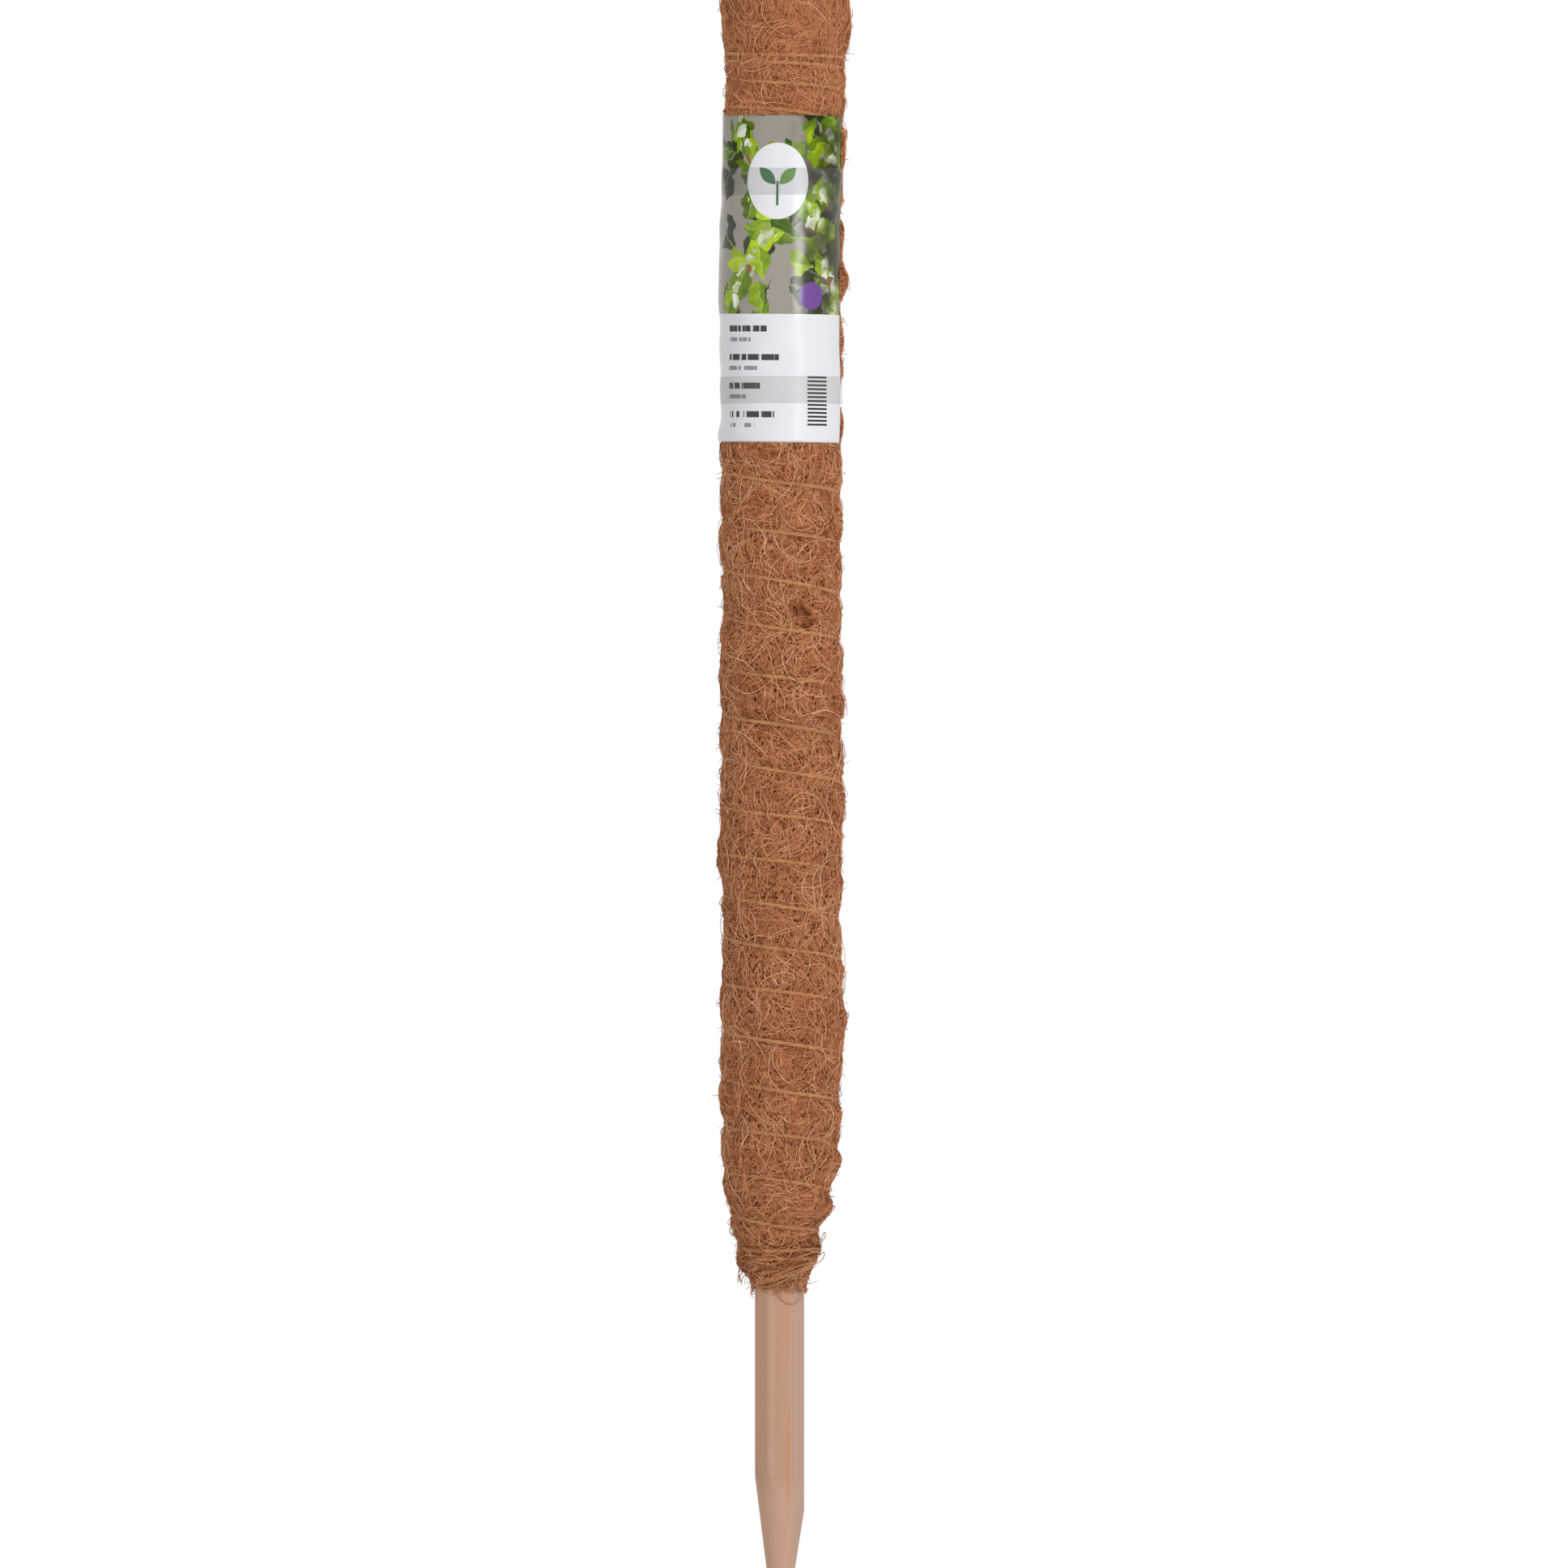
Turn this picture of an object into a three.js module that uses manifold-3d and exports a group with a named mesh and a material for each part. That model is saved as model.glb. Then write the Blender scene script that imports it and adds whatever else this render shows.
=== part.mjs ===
// Moss pole: a sharpened wooden stake wrapped in two layers of coir, bound by a spiral of
// jute twine, with a paper label held on by two bands of clear tape.
// Millimetres, +Z up, origin at the middle of the stake's blunt tip, front towards -Y.
import * as THREE from "three";
import { mergeVertices } from "three/addons/utils/BufferGeometryUtils.js";
import Module from "manifold-3d";

const wasm = await Module();
wasm.setup();

// Clearance between pieces that rest on each other
const FIT_GAP = 0.3;

// Stake: a planed square with chamfered corners and a sharpened lower end
const POLE_LENGTH = 700; // from the blunt tip to the top of the coir
const STAKE_WIDTH = 20; // across the flats
const STAKE_CHAMFER = 5.3; // leg of each planed corner
const STAKE_RECESS = 4; // end of the stake below the top of the coir
const POINT_LENGTH = 58; // sharpened length, where the cone meets the flats
const TIP_WIDTH = 3.6; // blunt end of the point
const POINT_LEAN = 0.0165; // sideways run of the point for each millimetre of height

// Coir: a core wound on the stake and an outer mat
const BARE_LENGTH = 143; // stake left bare below the coir
const CORE_WALL = 4.65; // inner wrap over the stake's corners
const CORE_SETBACK = 46; // ends of the inner wrap from the ends of the coir
const MAT_WALL = 8.8; // outer mat over the inner wrap, at the swells between the turns
const NECK_WALL = 3.95; // coir over the stake's corners where it is gathered
const NECK_HEIGHT = 68; // over which the neck swells to the full radius
const FOOT_WALL = 1.15; // coir over the stake's corners at its lowest end
const FOOT_ROUND = 4; // height of the rounding from the foot to the neck
const CROWN_SWELL = 1.5; // growth of the radius above the upper tie
const CROWN_RISE = 16; // height from the upper tie to the full crown
const CROWN_ROUND = 30; // height of the rounded top
const CROWN_WALL = 3.1; // flat of the crown round the end of the stake
const TIE_SQUEEZE = 2.7; // how far a tie draws the coir in
const LABEL_SQUEEZE = 1.05; // how far the taped label presses the coir in
const SQUEEZE_EASE = 8; // length over which a squeezed stretch swells out again

// Twine: turns counted from the first turn of the upper tie, at the front of the pole
const TWINE_DIAMETER = 2.4;
const TWINE_SINK = 0.2; // top of the spiral below the swells
const GROOVE_HALF_ANGLE = THREE.MathUtils.degToRad(60); // of the groove that the twine pinches
const GROOVE_EASE = 0.6; // turns over which the groove deepens from a tie
const SPIRAL_PITCH = 18.85;
const UPPER_SAG = 4.2; // how far the hand-wound spiral hangs below an even pitch, higher up
const LOWER_SAG = 2; // and lower down
const SAG_START = 1 / 3; // share of the spiral, from its top, where the upper sag begins
const SAG_CHANGE = 0.79; // share where the lower sag takes over
const TURN_GAP = 0.7; // between close turns of a tie
const UPPER_TIE_DROP = 56.7; // first turn of the upper tie below the top of the coir
const UPPER_LEAD_PITCH = 8.2; // turn after the close one
const UPPER_RUN_PITCH = 11.6; // turn that leads into the spiral
const LOWER_TIE_HEIGHT = 14.4; // close turn of the lower tie above the foot of the coir
const LOWER_LEAD_PITCH = 10.9; // turn that leads out of the spiral
const TAIL_TURNS = 1.4; // turns below the close one
const TAIL_HEIGHT = 3.4; // end of the tail above the foot of the coir

// Label and tape
const LABEL_WIDTH = 81; // round the pole
const LABEL_HEIGHT = 132.7;
const LABEL_THICKNESS = 0.4;
const LABEL_OFFSET = 1.6; // top of the label below the start of the spiral
const LABEL_TURN = THREE.MathUtils.degToRad(-16.9); // middle of the label from the front
const TAPE_WIDTH = 11;
const TAPE_THICKNESS = 0.2;
const UPPER_TAPE_INSET = 21.1; // from the top edge of the label
const LOWER_TAPE_INSET = 15.5; // from the bottom edge of the label

// Facets
const TURN_STEPS = 24;
const TWINE_SIDES = 6;
const ROUND_STEPS = 8;
const BAND_STEPS = 48;
const POINT_RINGS = 10;
const FLAT_STEPS = 3;
const CHAMFER_STEPS = 2;
const REST_SAMPLES = 8;

const FRONT = -Math.PI / 2;
const STEP_ANGLE = (2 * Math.PI) / TURN_STEPS;
const { smoothstep, lerp } = THREE.MathUtils;

// Radii from the stake outwards
const STAKE_REACH = Math.hypot(STAKE_WIDTH / 2, STAKE_WIDTH / 2 - STAKE_CHAMFER);
const BORE_REACH = STAKE_REACH + FIT_GAP;
const CORE_RADIUS = BORE_REACH + CORE_WALL;
const COIR_RADIUS = CORE_RADIUS + FIT_GAP + MAT_WALL;
const NECK_RADIUS = BORE_REACH + NECK_WALL;
const FOOT_RADIUS = BORE_REACH + FOOT_WALL;
const CROWN_RADIUS = COIR_RADIUS + CROWN_SWELL;
const TWINE_RADIUS = TWINE_DIAMETER / 2;
const LABEL_RADIUS = COIR_RADIUS - LABEL_SQUEEZE + FIT_GAP;
const TAPE_RADIUS = LABEL_RADIUS + LABEL_THICKNESS + FIT_GAP;

// A closed geometry from a list of [x, y, z] points and a list of triangles.
function meshOf(points, triangles) {
  const geometry = new THREE.BufferGeometry();
  geometry.setAttribute("position", new THREE.Float32BufferAttribute(points.flat(), 3));
  geometry.setIndex(triangles.flat());
  geometry.computeVertexNormals();
  return geometry;
}

// A closed geometry as a solid that can be joined and cut.
function solidOf(geometry) {
  const bare = geometry.clone();
  bare.deleteAttribute("normal");
  bare.deleteAttribute("uv");
  const merged = mergeVertices(bare, 1e-4);
  return new wasm.Manifold(
    new wasm.Mesh({
      numProp: 3,
      vertProperties: new Float32Array(merged.attributes.position.array),
      triVerts: new Uint32Array(merged.index.array),
    }),
  );
}

// A solid back as a geometry.
function geometryOf(solid) {
  const mesh = solid.getMesh();
  const geometry = new THREE.BufferGeometry();
  geometry.setAttribute("position", new THREE.BufferAttribute(mesh.vertProperties, 3));
  geometry.setIndex(new THREE.BufferAttribute(mesh.triVerts, 1));
  geometry.computeVertexNormals();
  return geometry;
}

// A point at a radius, an angle round the pole and a height.
function around(radius, angle, height) {
  return [radius * Math.cos(angle), radius * Math.sin(angle), height];
}

// A solid of revolution about Z from [radius, height] pairs that start and end on the axis.
function turned(profile, steps) {
  const points = profile.map(([radius, height]) => new THREE.Vector2(radius, height));
  return new THREE.LatheGeometry(points, steps).rotateX(Math.PI / 2);
}

// Corners of the stake's section, grown outwards all round by a clearance.
function stakeCorners(clearance) {
  const half = STAKE_WIDTH / 2 + clearance;
  const flat = half - STAKE_CHAMFER - (2 - Math.SQRT2) * clearance;
  return [
    [half, -flat],
    [half, flat],
    [flat, half],
    [-flat, half],
    [-half, flat],
    [-half, -flat],
    [-flat, -half],
    [flat, -half],
  ];
}

// The stake's section as points along its flats and planed corners, in turn.
function stakeSection() {
  const corners = stakeCorners(0);
  return corners.flatMap(([x, y], side) => {
    const [nextX, nextY] = corners[(side + 1) % corners.length];
    const steps = side % 2 ? CHAMFER_STEPS : FLAT_STEPS;
    return Array.from({ length: steps }, (_, step) => [
      lerp(x, nextX, step / steps),
      lerp(y, nextY, step / steps),
    ]);
  });
}

const POINT_SLOPE = (STAKE_WIDTH - TIP_WIDTH) / 2 / POINT_LENGTH;

// Radius of the sharpened cone at an angle and a height: its axis leans sideways.
function pointRadius(angle, height) {
  const radius = TIP_WIDTH / 2 + POINT_SLOPE * height;
  const lean = POINT_LEAN * height;
  return lean * Math.cos(angle) + Math.sqrt(radius ** 2 - (lean * Math.sin(angle)) ** 2);
}

// Heights of the stake's rings: the point, the foot of the coir and the upper end.
function stakeHeights() {
  const firstCut = (STAKE_WIDTH - TIP_WIDTH) / 2 / (POINT_SLOPE + POINT_LEAN);
  const lastCut = (STAKE_REACH - TIP_WIDTH / 2) / (POINT_SLOPE - POINT_LEAN);
  const heights = [0, firstCut / 2, BARE_LENGTH, POLE_LENGTH - STAKE_RECESS];
  for (let ring = 0; ring <= POINT_RINGS; ring += 1) {
    heights.push(lerp(firstCut, lastCut, ring / POINT_RINGS));
  }
  return heights.sort((low, high) => low - high);
}

function stakeGeometry() {
  const section = stakeSection();
  const heights = stakeHeights();
  const count = section.length;
  const points = heights.flatMap((height) =>
    section.map(([x, y]) => {
      const angle = Math.atan2(y, x);
      return around(Math.min(Math.hypot(x, y), pointRadius(angle, height)), angle, height);
    }),
  );
  const triangles = [];
  for (let ring = 0; ring + 1 < heights.length; ring += 1) {
    for (let side = 0; side < count; side += 1) {
      const low = ring * count + side;
      const lowNext = ring * count + ((side + 1) % count);
      triangles.push([low, lowNext, lowNext + count]);
      triangles.push([low, lowNext + count, low + count]);
    }
  }
  const bottom = points.push([0, 0, heights[0]]) - 1;
  const top = points.push([0, 0, heights.at(-1)]) - 1;
  const topRing = (heights.length - 1) * count;
  for (let side = 0; side < count; side += 1) {
    const next = (side + 1) % count;
    triangles.push([bottom, next, side]);
    triangles.push([top, topRing + side, topRing + next]);
  }
  return meshOf(points, triangles);
}

// Heights at the front of the pole after each whole turn of twine, from the top down.
const TIE_PITCH = TWINE_DIAMETER + TURN_GAP;
const UPPER_TIE = POLE_LENGTH - UPPER_TIE_DROP;
const UPPER_TIE_END = UPPER_TIE - TIE_PITCH;
const SPIRAL_TOP = UPPER_TIE_END - UPPER_LEAD_PITCH - UPPER_RUN_PITCH;
const LOWER_TIE = BARE_LENGTH + LOWER_TIE_HEIGHT;
const LOWER_TIE_END = LOWER_TIE - TIE_PITCH;
const SPIRAL_FOOT = LOWER_TIE + LOWER_LEAD_PITCH;
const SPIRAL_TURNS = Math.round((SPIRAL_TOP - SPIRAL_FOOT) / SPIRAL_PITCH);
const TAIL_PITCH = (LOWER_TIE_END - BARE_LENGTH - TAIL_HEIGHT) / TAIL_TURNS;

// Whole turns at which one stretch of twine gives way to the next
const CLOSE_TURNS = 1;
const SPIRAL_START = CLOSE_TURNS + 2;
const SPIRAL_END = SPIRAL_START + SPIRAL_TURNS;
const LOWER_TIE_START = SPIRAL_END + 1;
const TWINE_END = LOWER_TIE_START + CLOSE_TURNS + TAIL_TURNS;

// Turns before the first and after the last one, which carry the coir's surface past its ends
const TURNS_ABOVE = Math.ceil((POLE_LENGTH - UPPER_TIE) / SPIRAL_PITCH) + 2;
const TURNS_BELOW = 2;

// How far the spiral hangs below an even pitch at a share of its turns.
function spiralSag(share) {
  if (share < SAG_START) {
    return 0;
  }
  if (share < SAG_CHANGE) {
    return UPPER_SAG * Math.sin((Math.PI * (share - SAG_START)) / (SAG_CHANGE - SAG_START));
  }
  return LOWER_SAG * Math.sin((Math.PI * (share - SAG_CHANGE)) / (1 - SAG_CHANGE));
}

function turnHeights() {
  const above = Array.from(
    { length: TURNS_ABOVE },
    (_, turn) => UPPER_TIE + (TURNS_ABOVE - turn) * SPIRAL_PITCH,
  );
  const spiral = Array.from({ length: SPIRAL_TURNS + 1 }, (_, turn) => {
    const share = turn / SPIRAL_TURNS;
    return lerp(SPIRAL_TOP, SPIRAL_FOOT, share) - spiralSag(share);
  });
  const upper = [UPPER_TIE, UPPER_TIE_END, UPPER_TIE_END - UPPER_LEAD_PITCH];
  const tail = Array.from(
    { length: Math.ceil(TAIL_TURNS) },
    (_, turn) => LOWER_TIE_END - (turn + 1) * TAIL_PITCH,
  );
  const below = Array.from(
    { length: TURNS_BELOW + 1 },
    (_, turn) => tail.at(-1) - (turn + 1) * SPIRAL_PITCH,
  );
  return [...above, ...upper, ...spiral, LOWER_TIE, LOWER_TIE_END, ...tail, ...below];
}

const HEIGHTS = turnHeights();
const FIRST_TURN = -TURNS_ABOVE;
const LAST_TURN = FIRST_TURN + HEIGHTS.length - 2;

// Height of the twine's path at any part of a turn.
function pathHeight(turn) {
  const place = Math.min(Math.max(turn - FIRST_TURN, 0), HEIGHTS.length - 1);
  const whole = Math.min(Math.floor(place), HEIGHTS.length - 2);
  return lerp(HEIGHTS[whole], HEIGHTS[whole + 1], place - whole);
}

// Height between this turn and the next one.
function pathDrop(turn) {
  return pathHeight(turn) - pathHeight(turn + 1);
}

// One between two heights, easing to zero outside them.
function stretch(height, low, high) {
  const rising = smoothstep(height, low - SQUEEZE_EASE, low);
  return rising * (1 - smoothstep(height, high, high + SQUEEZE_EASE));
}

const LABEL_TOP = SPIRAL_TOP - LABEL_OFFSET;
const LABEL_FOOT = LABEL_TOP - LABEL_HEIGHT;

// Radius of the coir's swells at a height.
function swellRadius(height) {
  const neckShare = (height - BARE_LENGTH - FOOT_ROUND) / NECK_HEIGHT;
  const neck = Math.sin((Math.PI / 2) * Math.min(Math.max(neckShare, 0), 1));
  const body = lerp(NECK_RADIUS, COIR_RADIUS, neck);
  const crown = smoothstep(height, UPPER_TIE, UPPER_TIE + CROWN_RISE);
  const reach = TWINE_RADIUS + FIT_GAP;
  const upperTie = stretch(height, UPPER_TIE_END - reach, UPPER_TIE + reach);
  const lowerTie = stretch(height, LOWER_TIE_END - reach, LOWER_TIE + reach);
  const label = stretch(height, LABEL_FOOT - FIT_GAP, LABEL_TOP + FIT_GAP);
  const squeeze = TIE_SQUEEZE * (upperTie + lowerTie) + LABEL_SQUEEZE * label;
  return body + CROWN_SWELL * crown - squeeze;
}

// The groove that the twine pinches: full along the spiral, gone at the ties.
const SEAT_DEPTH = (TWINE_RADIUS + FIT_GAP) / Math.sin(GROOVE_HALF_ANGLE);
const GROOVE_DEPTH = SEAT_DEPTH + TWINE_RADIUS + TWINE_SINK;
const GROOVE_HALF = GROOVE_DEPTH * Math.tan(GROOVE_HALF_ANGLE);
const GROOVE_SHARE = 0.3; // most of a turn that half a groove takes up

function grooveDepth(turn) {
  const start = smoothstep(turn, CLOSE_TURNS, CLOSE_TURNS + GROOVE_EASE);
  const end = smoothstep(turn, LOWER_TIE_START - GROOVE_EASE, LOWER_TIE_START);
  return GROOVE_DEPTH * start * (1 - end);
}

function grooveHalf(turn) {
  return Math.min(GROOVE_HALF, GROOVE_SHARE * pathDrop(turn), GROOVE_SHARE * pathDrop(turn - 1));
}

// Three rows of points follow the twine in each turn: the groove and the edges of the swell.
const TURN_ROWS = 3;

// Radius and height of the coir's surface at a row and a column of its helical grid.
function coirPoint(row, column) {
  const kind = ((row % TURN_ROWS) + TURN_ROWS) % TURN_ROWS;
  const turn = (row - kind) / TURN_ROWS + column / TURN_STEPS;
  if (kind === 0) {
    const height = pathHeight(turn);
    return [swellRadius(height) - grooveDepth(turn), height];
  }
  const height =
    kind === 1 ? pathHeight(turn) - grooveHalf(turn) : pathHeight(turn + 1) + grooveHalf(turn + 1);
  return [swellRadius(height), height];
}

// The coir's bound surface, run past both ends and closed on the axis.
function boundRod() {
  const firstRow = (FIRST_TURN + 1) * TURN_ROWS;
  const lastRow = (LAST_TURN - 1) * TURN_ROWS;
  const rows = lastRow - firstRow;
  const columnRows = rows + TURN_ROWS + 1;
  const points = [];
  const places = new Map();
  const vertex = (row, column) => {
    const wraps = column === TURN_STEPS;
    const key = (wraps ? row + TURN_ROWS : row) + (wraps ? 0 : column) * columnRows;
    if (!places.has(key)) {
      const [radius, height] = coirPoint(firstRow + row, column);
      places.set(key, points.push(around(radius, FRONT + column * STEP_ANGLE, height)) - 1);
    }
    return places.get(key);
  };
  const triangles = [];
  for (let row = 0; row < rows; row += 1) {
    for (let column = 0; column < TURN_STEPS; column += 1) {
      const left = vertex(row, column);
      const right = vertex(row, column + 1);
      const lowLeft = vertex(row + 1, column);
      const lowRight = vertex(row + 1, column + 1);
      triangles.push([left, lowLeft, lowRight]);
      triangles.push([left, lowRight, right]);
    }
  }
  const top = points.push([0, 0, pathHeight(FIRST_TURN)]) - 1;
  const foot = points.push([0, 0, pathHeight(LAST_TURN + 1)]) - 1;
  for (let column = 0; column < TURN_STEPS; column += 1) {
    triangles.push([vertex(0, column), vertex(0, column + 1), top]);
    triangles.push([vertex(rows, column + 1), vertex(rows, column), foot]);
  }
  for (let row = 0; row < TURN_ROWS; row += 1) {
    triangles.push([vertex(row + 1, 0), vertex(row, 0), top]);
    triangles.push([vertex(rows + row, 0), vertex(rows + row + 1, 0), foot]);
  }
  return solidOf(meshOf(points, triangles));
}

// The space between the coir's two ends: a rounded foot, open sides and a rounded crown.
function coirEnds() {
  const clear = 2 * CROWN_RADIUS;
  const neck = NECK_RADIUS + FIT_GAP;
  const flat = BORE_REACH + CROWN_WALL;
  const crown = CROWN_RADIUS + FIT_GAP;
  const shoulder = POLE_LENGTH - CROWN_ROUND;
  const profile = [[0, BARE_LENGTH]];
  for (let step = 0; step <= ROUND_STEPS; step += 1) {
    const angle = ((Math.PI / 2) * step) / ROUND_STEPS;
    const height = BARE_LENGTH + FOOT_ROUND * (1 - Math.cos(angle));
    profile.push([lerp(FOOT_RADIUS, neck, Math.sin(angle)), height]);
  }
  profile.push([clear, BARE_LENGTH + FOOT_ROUND]);
  profile.push([clear, shoulder]);
  for (let step = 0; step <= ROUND_STEPS; step += 1) {
    const angle = ((Math.PI / 2) * step) / ROUND_STEPS;
    profile.push([lerp(flat, crown, Math.cos(angle)), shoulder + CROWN_ROUND * Math.sin(angle)]);
  }
  profile.push([0, POLE_LENGTH]);
  return solidOf(turned(profile, TURN_STEPS));
}

// A shape from [x, y] corners.
function outline(corners) {
  return new THREE.Shape(corners.map(([x, y]) => new THREE.Vector2(x, y)));
}

// Corners of a round section with as many sides as a turn has steps.
function roundCorners(radius) {
  return Array.from({ length: TURN_STEPS }, (_, step) => {
    const [x, y] = around(radius, FRONT + step * STEP_ANGLE, 0);
    return [x, y];
  });
}

const CORE_FOOT = BARE_LENGTH + CORE_SETBACK;
const CORE_LENGTH = POLE_LENGTH - CORE_SETBACK - CORE_FOOT;

function innerWrapGeometry() {
  const section = outline(roundCorners(CORE_RADIUS));
  section.holes.push(outline(stakeCorners(FIT_GAP)));
  return new THREE.ExtrudeGeometry(section, { depth: CORE_LENGTH, bevelEnabled: false });
}

function outerMatGeometry() {
  const stakeBore = new THREE.ExtrudeGeometry(outline(stakeCorners(FIT_GAP)), {
    depth: POLE_LENGTH,
    bevelEnabled: false,
  });
  stakeBore.translate(0, 0, BARE_LENGTH / 2);
  const coreBore = new THREE.ExtrudeGeometry(outline(roundCorners(CORE_RADIUS + FIT_GAP)), {
    depth: CORE_LENGTH + 2 * FIT_GAP,
    bevelEnabled: false,
  });
  coreBore.translate(0, 0, CORE_FOOT - FIT_GAP);
  const body = boundRod().intersect(coirEnds());
  return geometryOf(body.subtract(solidOf(stakeBore)).subtract(solidOf(coreBore)));
}

// Radius at which the twine's middle rests on the coir at a whole step of its path.
function restingRadius(step) {
  const column = ((step % TURN_STEPS) + TURN_STEPS) % TURN_STEPS;
  const turn = (step - column) / TURN_STEPS;
  const height = pathHeight(step / TURN_STEPS);
  const reach = TWINE_RADIUS + FIT_GAP;
  let radius = 0;
  for (let row = (turn - 1) * TURN_ROWS; row < (turn + 1) * TURN_ROWS; row += 1) {
    const [upRadius, upHeight] = coirPoint(row, column);
    const [lowRadius, lowHeight] = coirPoint(row + 1, column);
    for (let sample = 0; sample <= REST_SAMPLES; sample += 1) {
      const share = sample / REST_SAMPLES;
      const away = lerp(upHeight, lowHeight, share) - height;
      if (Math.abs(away) < reach) {
        const proud = Math.sqrt(reach ** 2 - away ** 2);
        radius = Math.max(radius, lerp(upRadius, lowRadius, share) + proud);
      }
    }
  }
  return radius;
}

// The twine's middle at a whole step of its path.
function twinePoint(step) {
  const height = pathHeight(step / TURN_STEPS);
  return new THREE.Vector3(...around(restingRadius(step), FRONT + step * STEP_ANGLE, height));
}

// A ring of the twine's sides about a middle, from the outward and upward directions.
function twineRing(middle, outward, upward) {
  return Array.from({ length: TWINE_SIDES }, (_, side) => {
    const angle = (2 * Math.PI * side) / TWINE_SIDES;
    return middle
      .clone()
      .addScaledVector(outward, TWINE_RADIUS * Math.cos(angle))
      .addScaledVector(upward, TWINE_RADIUS * Math.sin(angle))
      .toArray();
  });
}

// The square-cut end of a stretch of twine, set back from the middle of a step.
function twineEnd(step, setback) {
  const from = twinePoint(step);
  const to = twinePoint(step + 1);
  const along = to.clone().sub(from).normalize();
  const middle = from.clone().lerp(to, 0.5).addScaledVector(along, setback);
  const outward = new THREE.Vector3(middle.x, middle.y, 0);
  outward.addScaledVector(along, -outward.dot(along)).normalize();
  const upward = outward.clone().cross(along);
  return twineRing(middle, outward, upward);
}

// One unbroken stretch of twine from the middle of one step to the middle of another.
function twineGeometry(firstStep, lastStep) {
  const rings = [twineEnd(firstStep, FIT_GAP / 2)];
  for (let step = firstStep + 1; step <= lastStep; step += 1) {
    const outward = new THREE.Vector3(...around(1, FRONT + step * STEP_ANGLE, 0));
    rings.push(twineRing(twinePoint(step), outward, new THREE.Vector3(0, 0, 1)));
  }
  rings.push(twineEnd(lastStep, -FIT_GAP / 2));
  const triangles = [];
  for (let ring = 0; ring + 1 < rings.length; ring += 1) {
    for (let side = 0; side < TWINE_SIDES; side += 1) {
      const here = ring * TWINE_SIDES + side;
      const next = ring * TWINE_SIDES + ((side + 1) % TWINE_SIDES);
      triangles.push([here, here + TWINE_SIDES, next + TWINE_SIDES]);
      triangles.push([here, next + TWINE_SIDES, next]);
    }
  }
  const last = (rings.length - 1) * TWINE_SIDES;
  for (let side = 1; side + 1 < TWINE_SIDES; side += 1) {
    triangles.push([0, side, side + 1]);
    triangles.push([last, last + side + 1, last + side]);
  }
  return meshOf(rings.flat(), triangles);
}

// Least gap between the turns of a stretch of twine, on the points of its middle line.
function leastGap(firstStep, lastStep) {
  const middles = [];
  for (let step = firstStep; step <= lastStep; step += 1) {
    middles.push(twinePoint(step));
  }
  let least = Infinity;
  middles.forEach((middle, index) => {
    for (let other = index + TURN_STEPS / 2; other < middles.length; other += 1) {
      least = Math.min(least, middle.distanceTo(middles[other]));
    }
  });
  return least - TWINE_DIAMETER;
}

function labelGeometry() {
  const outer = LABEL_RADIUS + LABEL_THICKNESS;
  const half = LABEL_WIDTH / outer / 2;
  const middle = FRONT + LABEL_TURN;
  const section = new THREE.Shape();
  section.absarc(0, 0, outer, middle - half, middle + half, false);
  section.absarc(0, 0, LABEL_RADIUS, middle + half, middle - half, true);
  section.closePath();
  return new THREE.ExtrudeGeometry(section, {
    depth: LABEL_HEIGHT,
    bevelEnabled: false,
    curveSegments: BAND_STEPS / 2,
  });
}

function tapeGeometry() {
  const outer = TAPE_RADIUS + TAPE_THICKNESS;
  const profile = [
    [TAPE_RADIUS, 0],
    [outer, 0],
    [outer, TAPE_WIDTH],
    [TAPE_RADIUS, TAPE_WIDTH],
    [TAPE_RADIUS, 0],
  ];
  return turned(profile, BAND_STEPS);
}

// A named piece with a material of its own.
function piece(name, geometry, height, color, roughness) {
  const material = new THREE.MeshStandardMaterial({ color, roughness, metalness: 0 });
  const mesh = new THREE.Mesh(geometry, material);
  mesh.name = name;
  mesh.position.z = height;
  return mesh;
}

const COIR_BROWN = 0xa16a4a;
const DEEP_COIR_BROWN = 0x84502f;
const TWINE_GOLD = 0xaf7d41;
const STAKE_WOOD = 0xc1977e;
const LABEL_PAPER = 0xe1e2e4;
const CLEAR_TAPE = 0xe6e6e0;

const wrap = new THREE.Group();
wrap.add(piece("inner_coir_wrap", innerWrapGeometry(), CORE_FOOT, DEEP_COIR_BROWN, 1));
wrap.add(piece("outer_coir_mat", outerMatGeometry(), 0, COIR_BROWN, 1));

const binding = new THREE.Group();
const stretches = [
  ["upper_twine_tie", 0, SPIRAL_START],
  ["spiral_twine", SPIRAL_START, SPIRAL_END],
  ["lower_twine_tie", SPIRAL_END, TWINE_END],
];
for (const [name, start, end] of stretches) {
  const firstStep = Math.round(start * TURN_STEPS);
  const lastStep = Math.round(end * TURN_STEPS);
  binding.add(piece(name, twineGeometry(firstStep, lastStep), 0, TWINE_GOLD, 0.9));
  console.log(`${name}: least gap to itself ${leastGap(firstStep, lastStep + 1).toFixed(2)} mm`);
}

const label = new THREE.Group();
label.position.z = LABEL_FOOT;
label.add(piece("paper_label", labelGeometry(), 0, LABEL_PAPER, 0.4));
const upperTapeHeight = LABEL_HEIGHT - UPPER_TAPE_INSET - TAPE_WIDTH;
label.add(piece("upper_tape_band", tapeGeometry(), upperTapeHeight, CLEAR_TAPE, 0.15));
label.add(piece("lower_tape_band", tapeGeometry(), LOWER_TAPE_INSET, CLEAR_TAPE, 0.15));

const pole = new THREE.Group();
pole.add(piece("wooden_stake", stakeGeometry(), 0, STAKE_WOOD, 0.7));
pole.add(wrap, binding, label);

export default pole;
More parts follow.
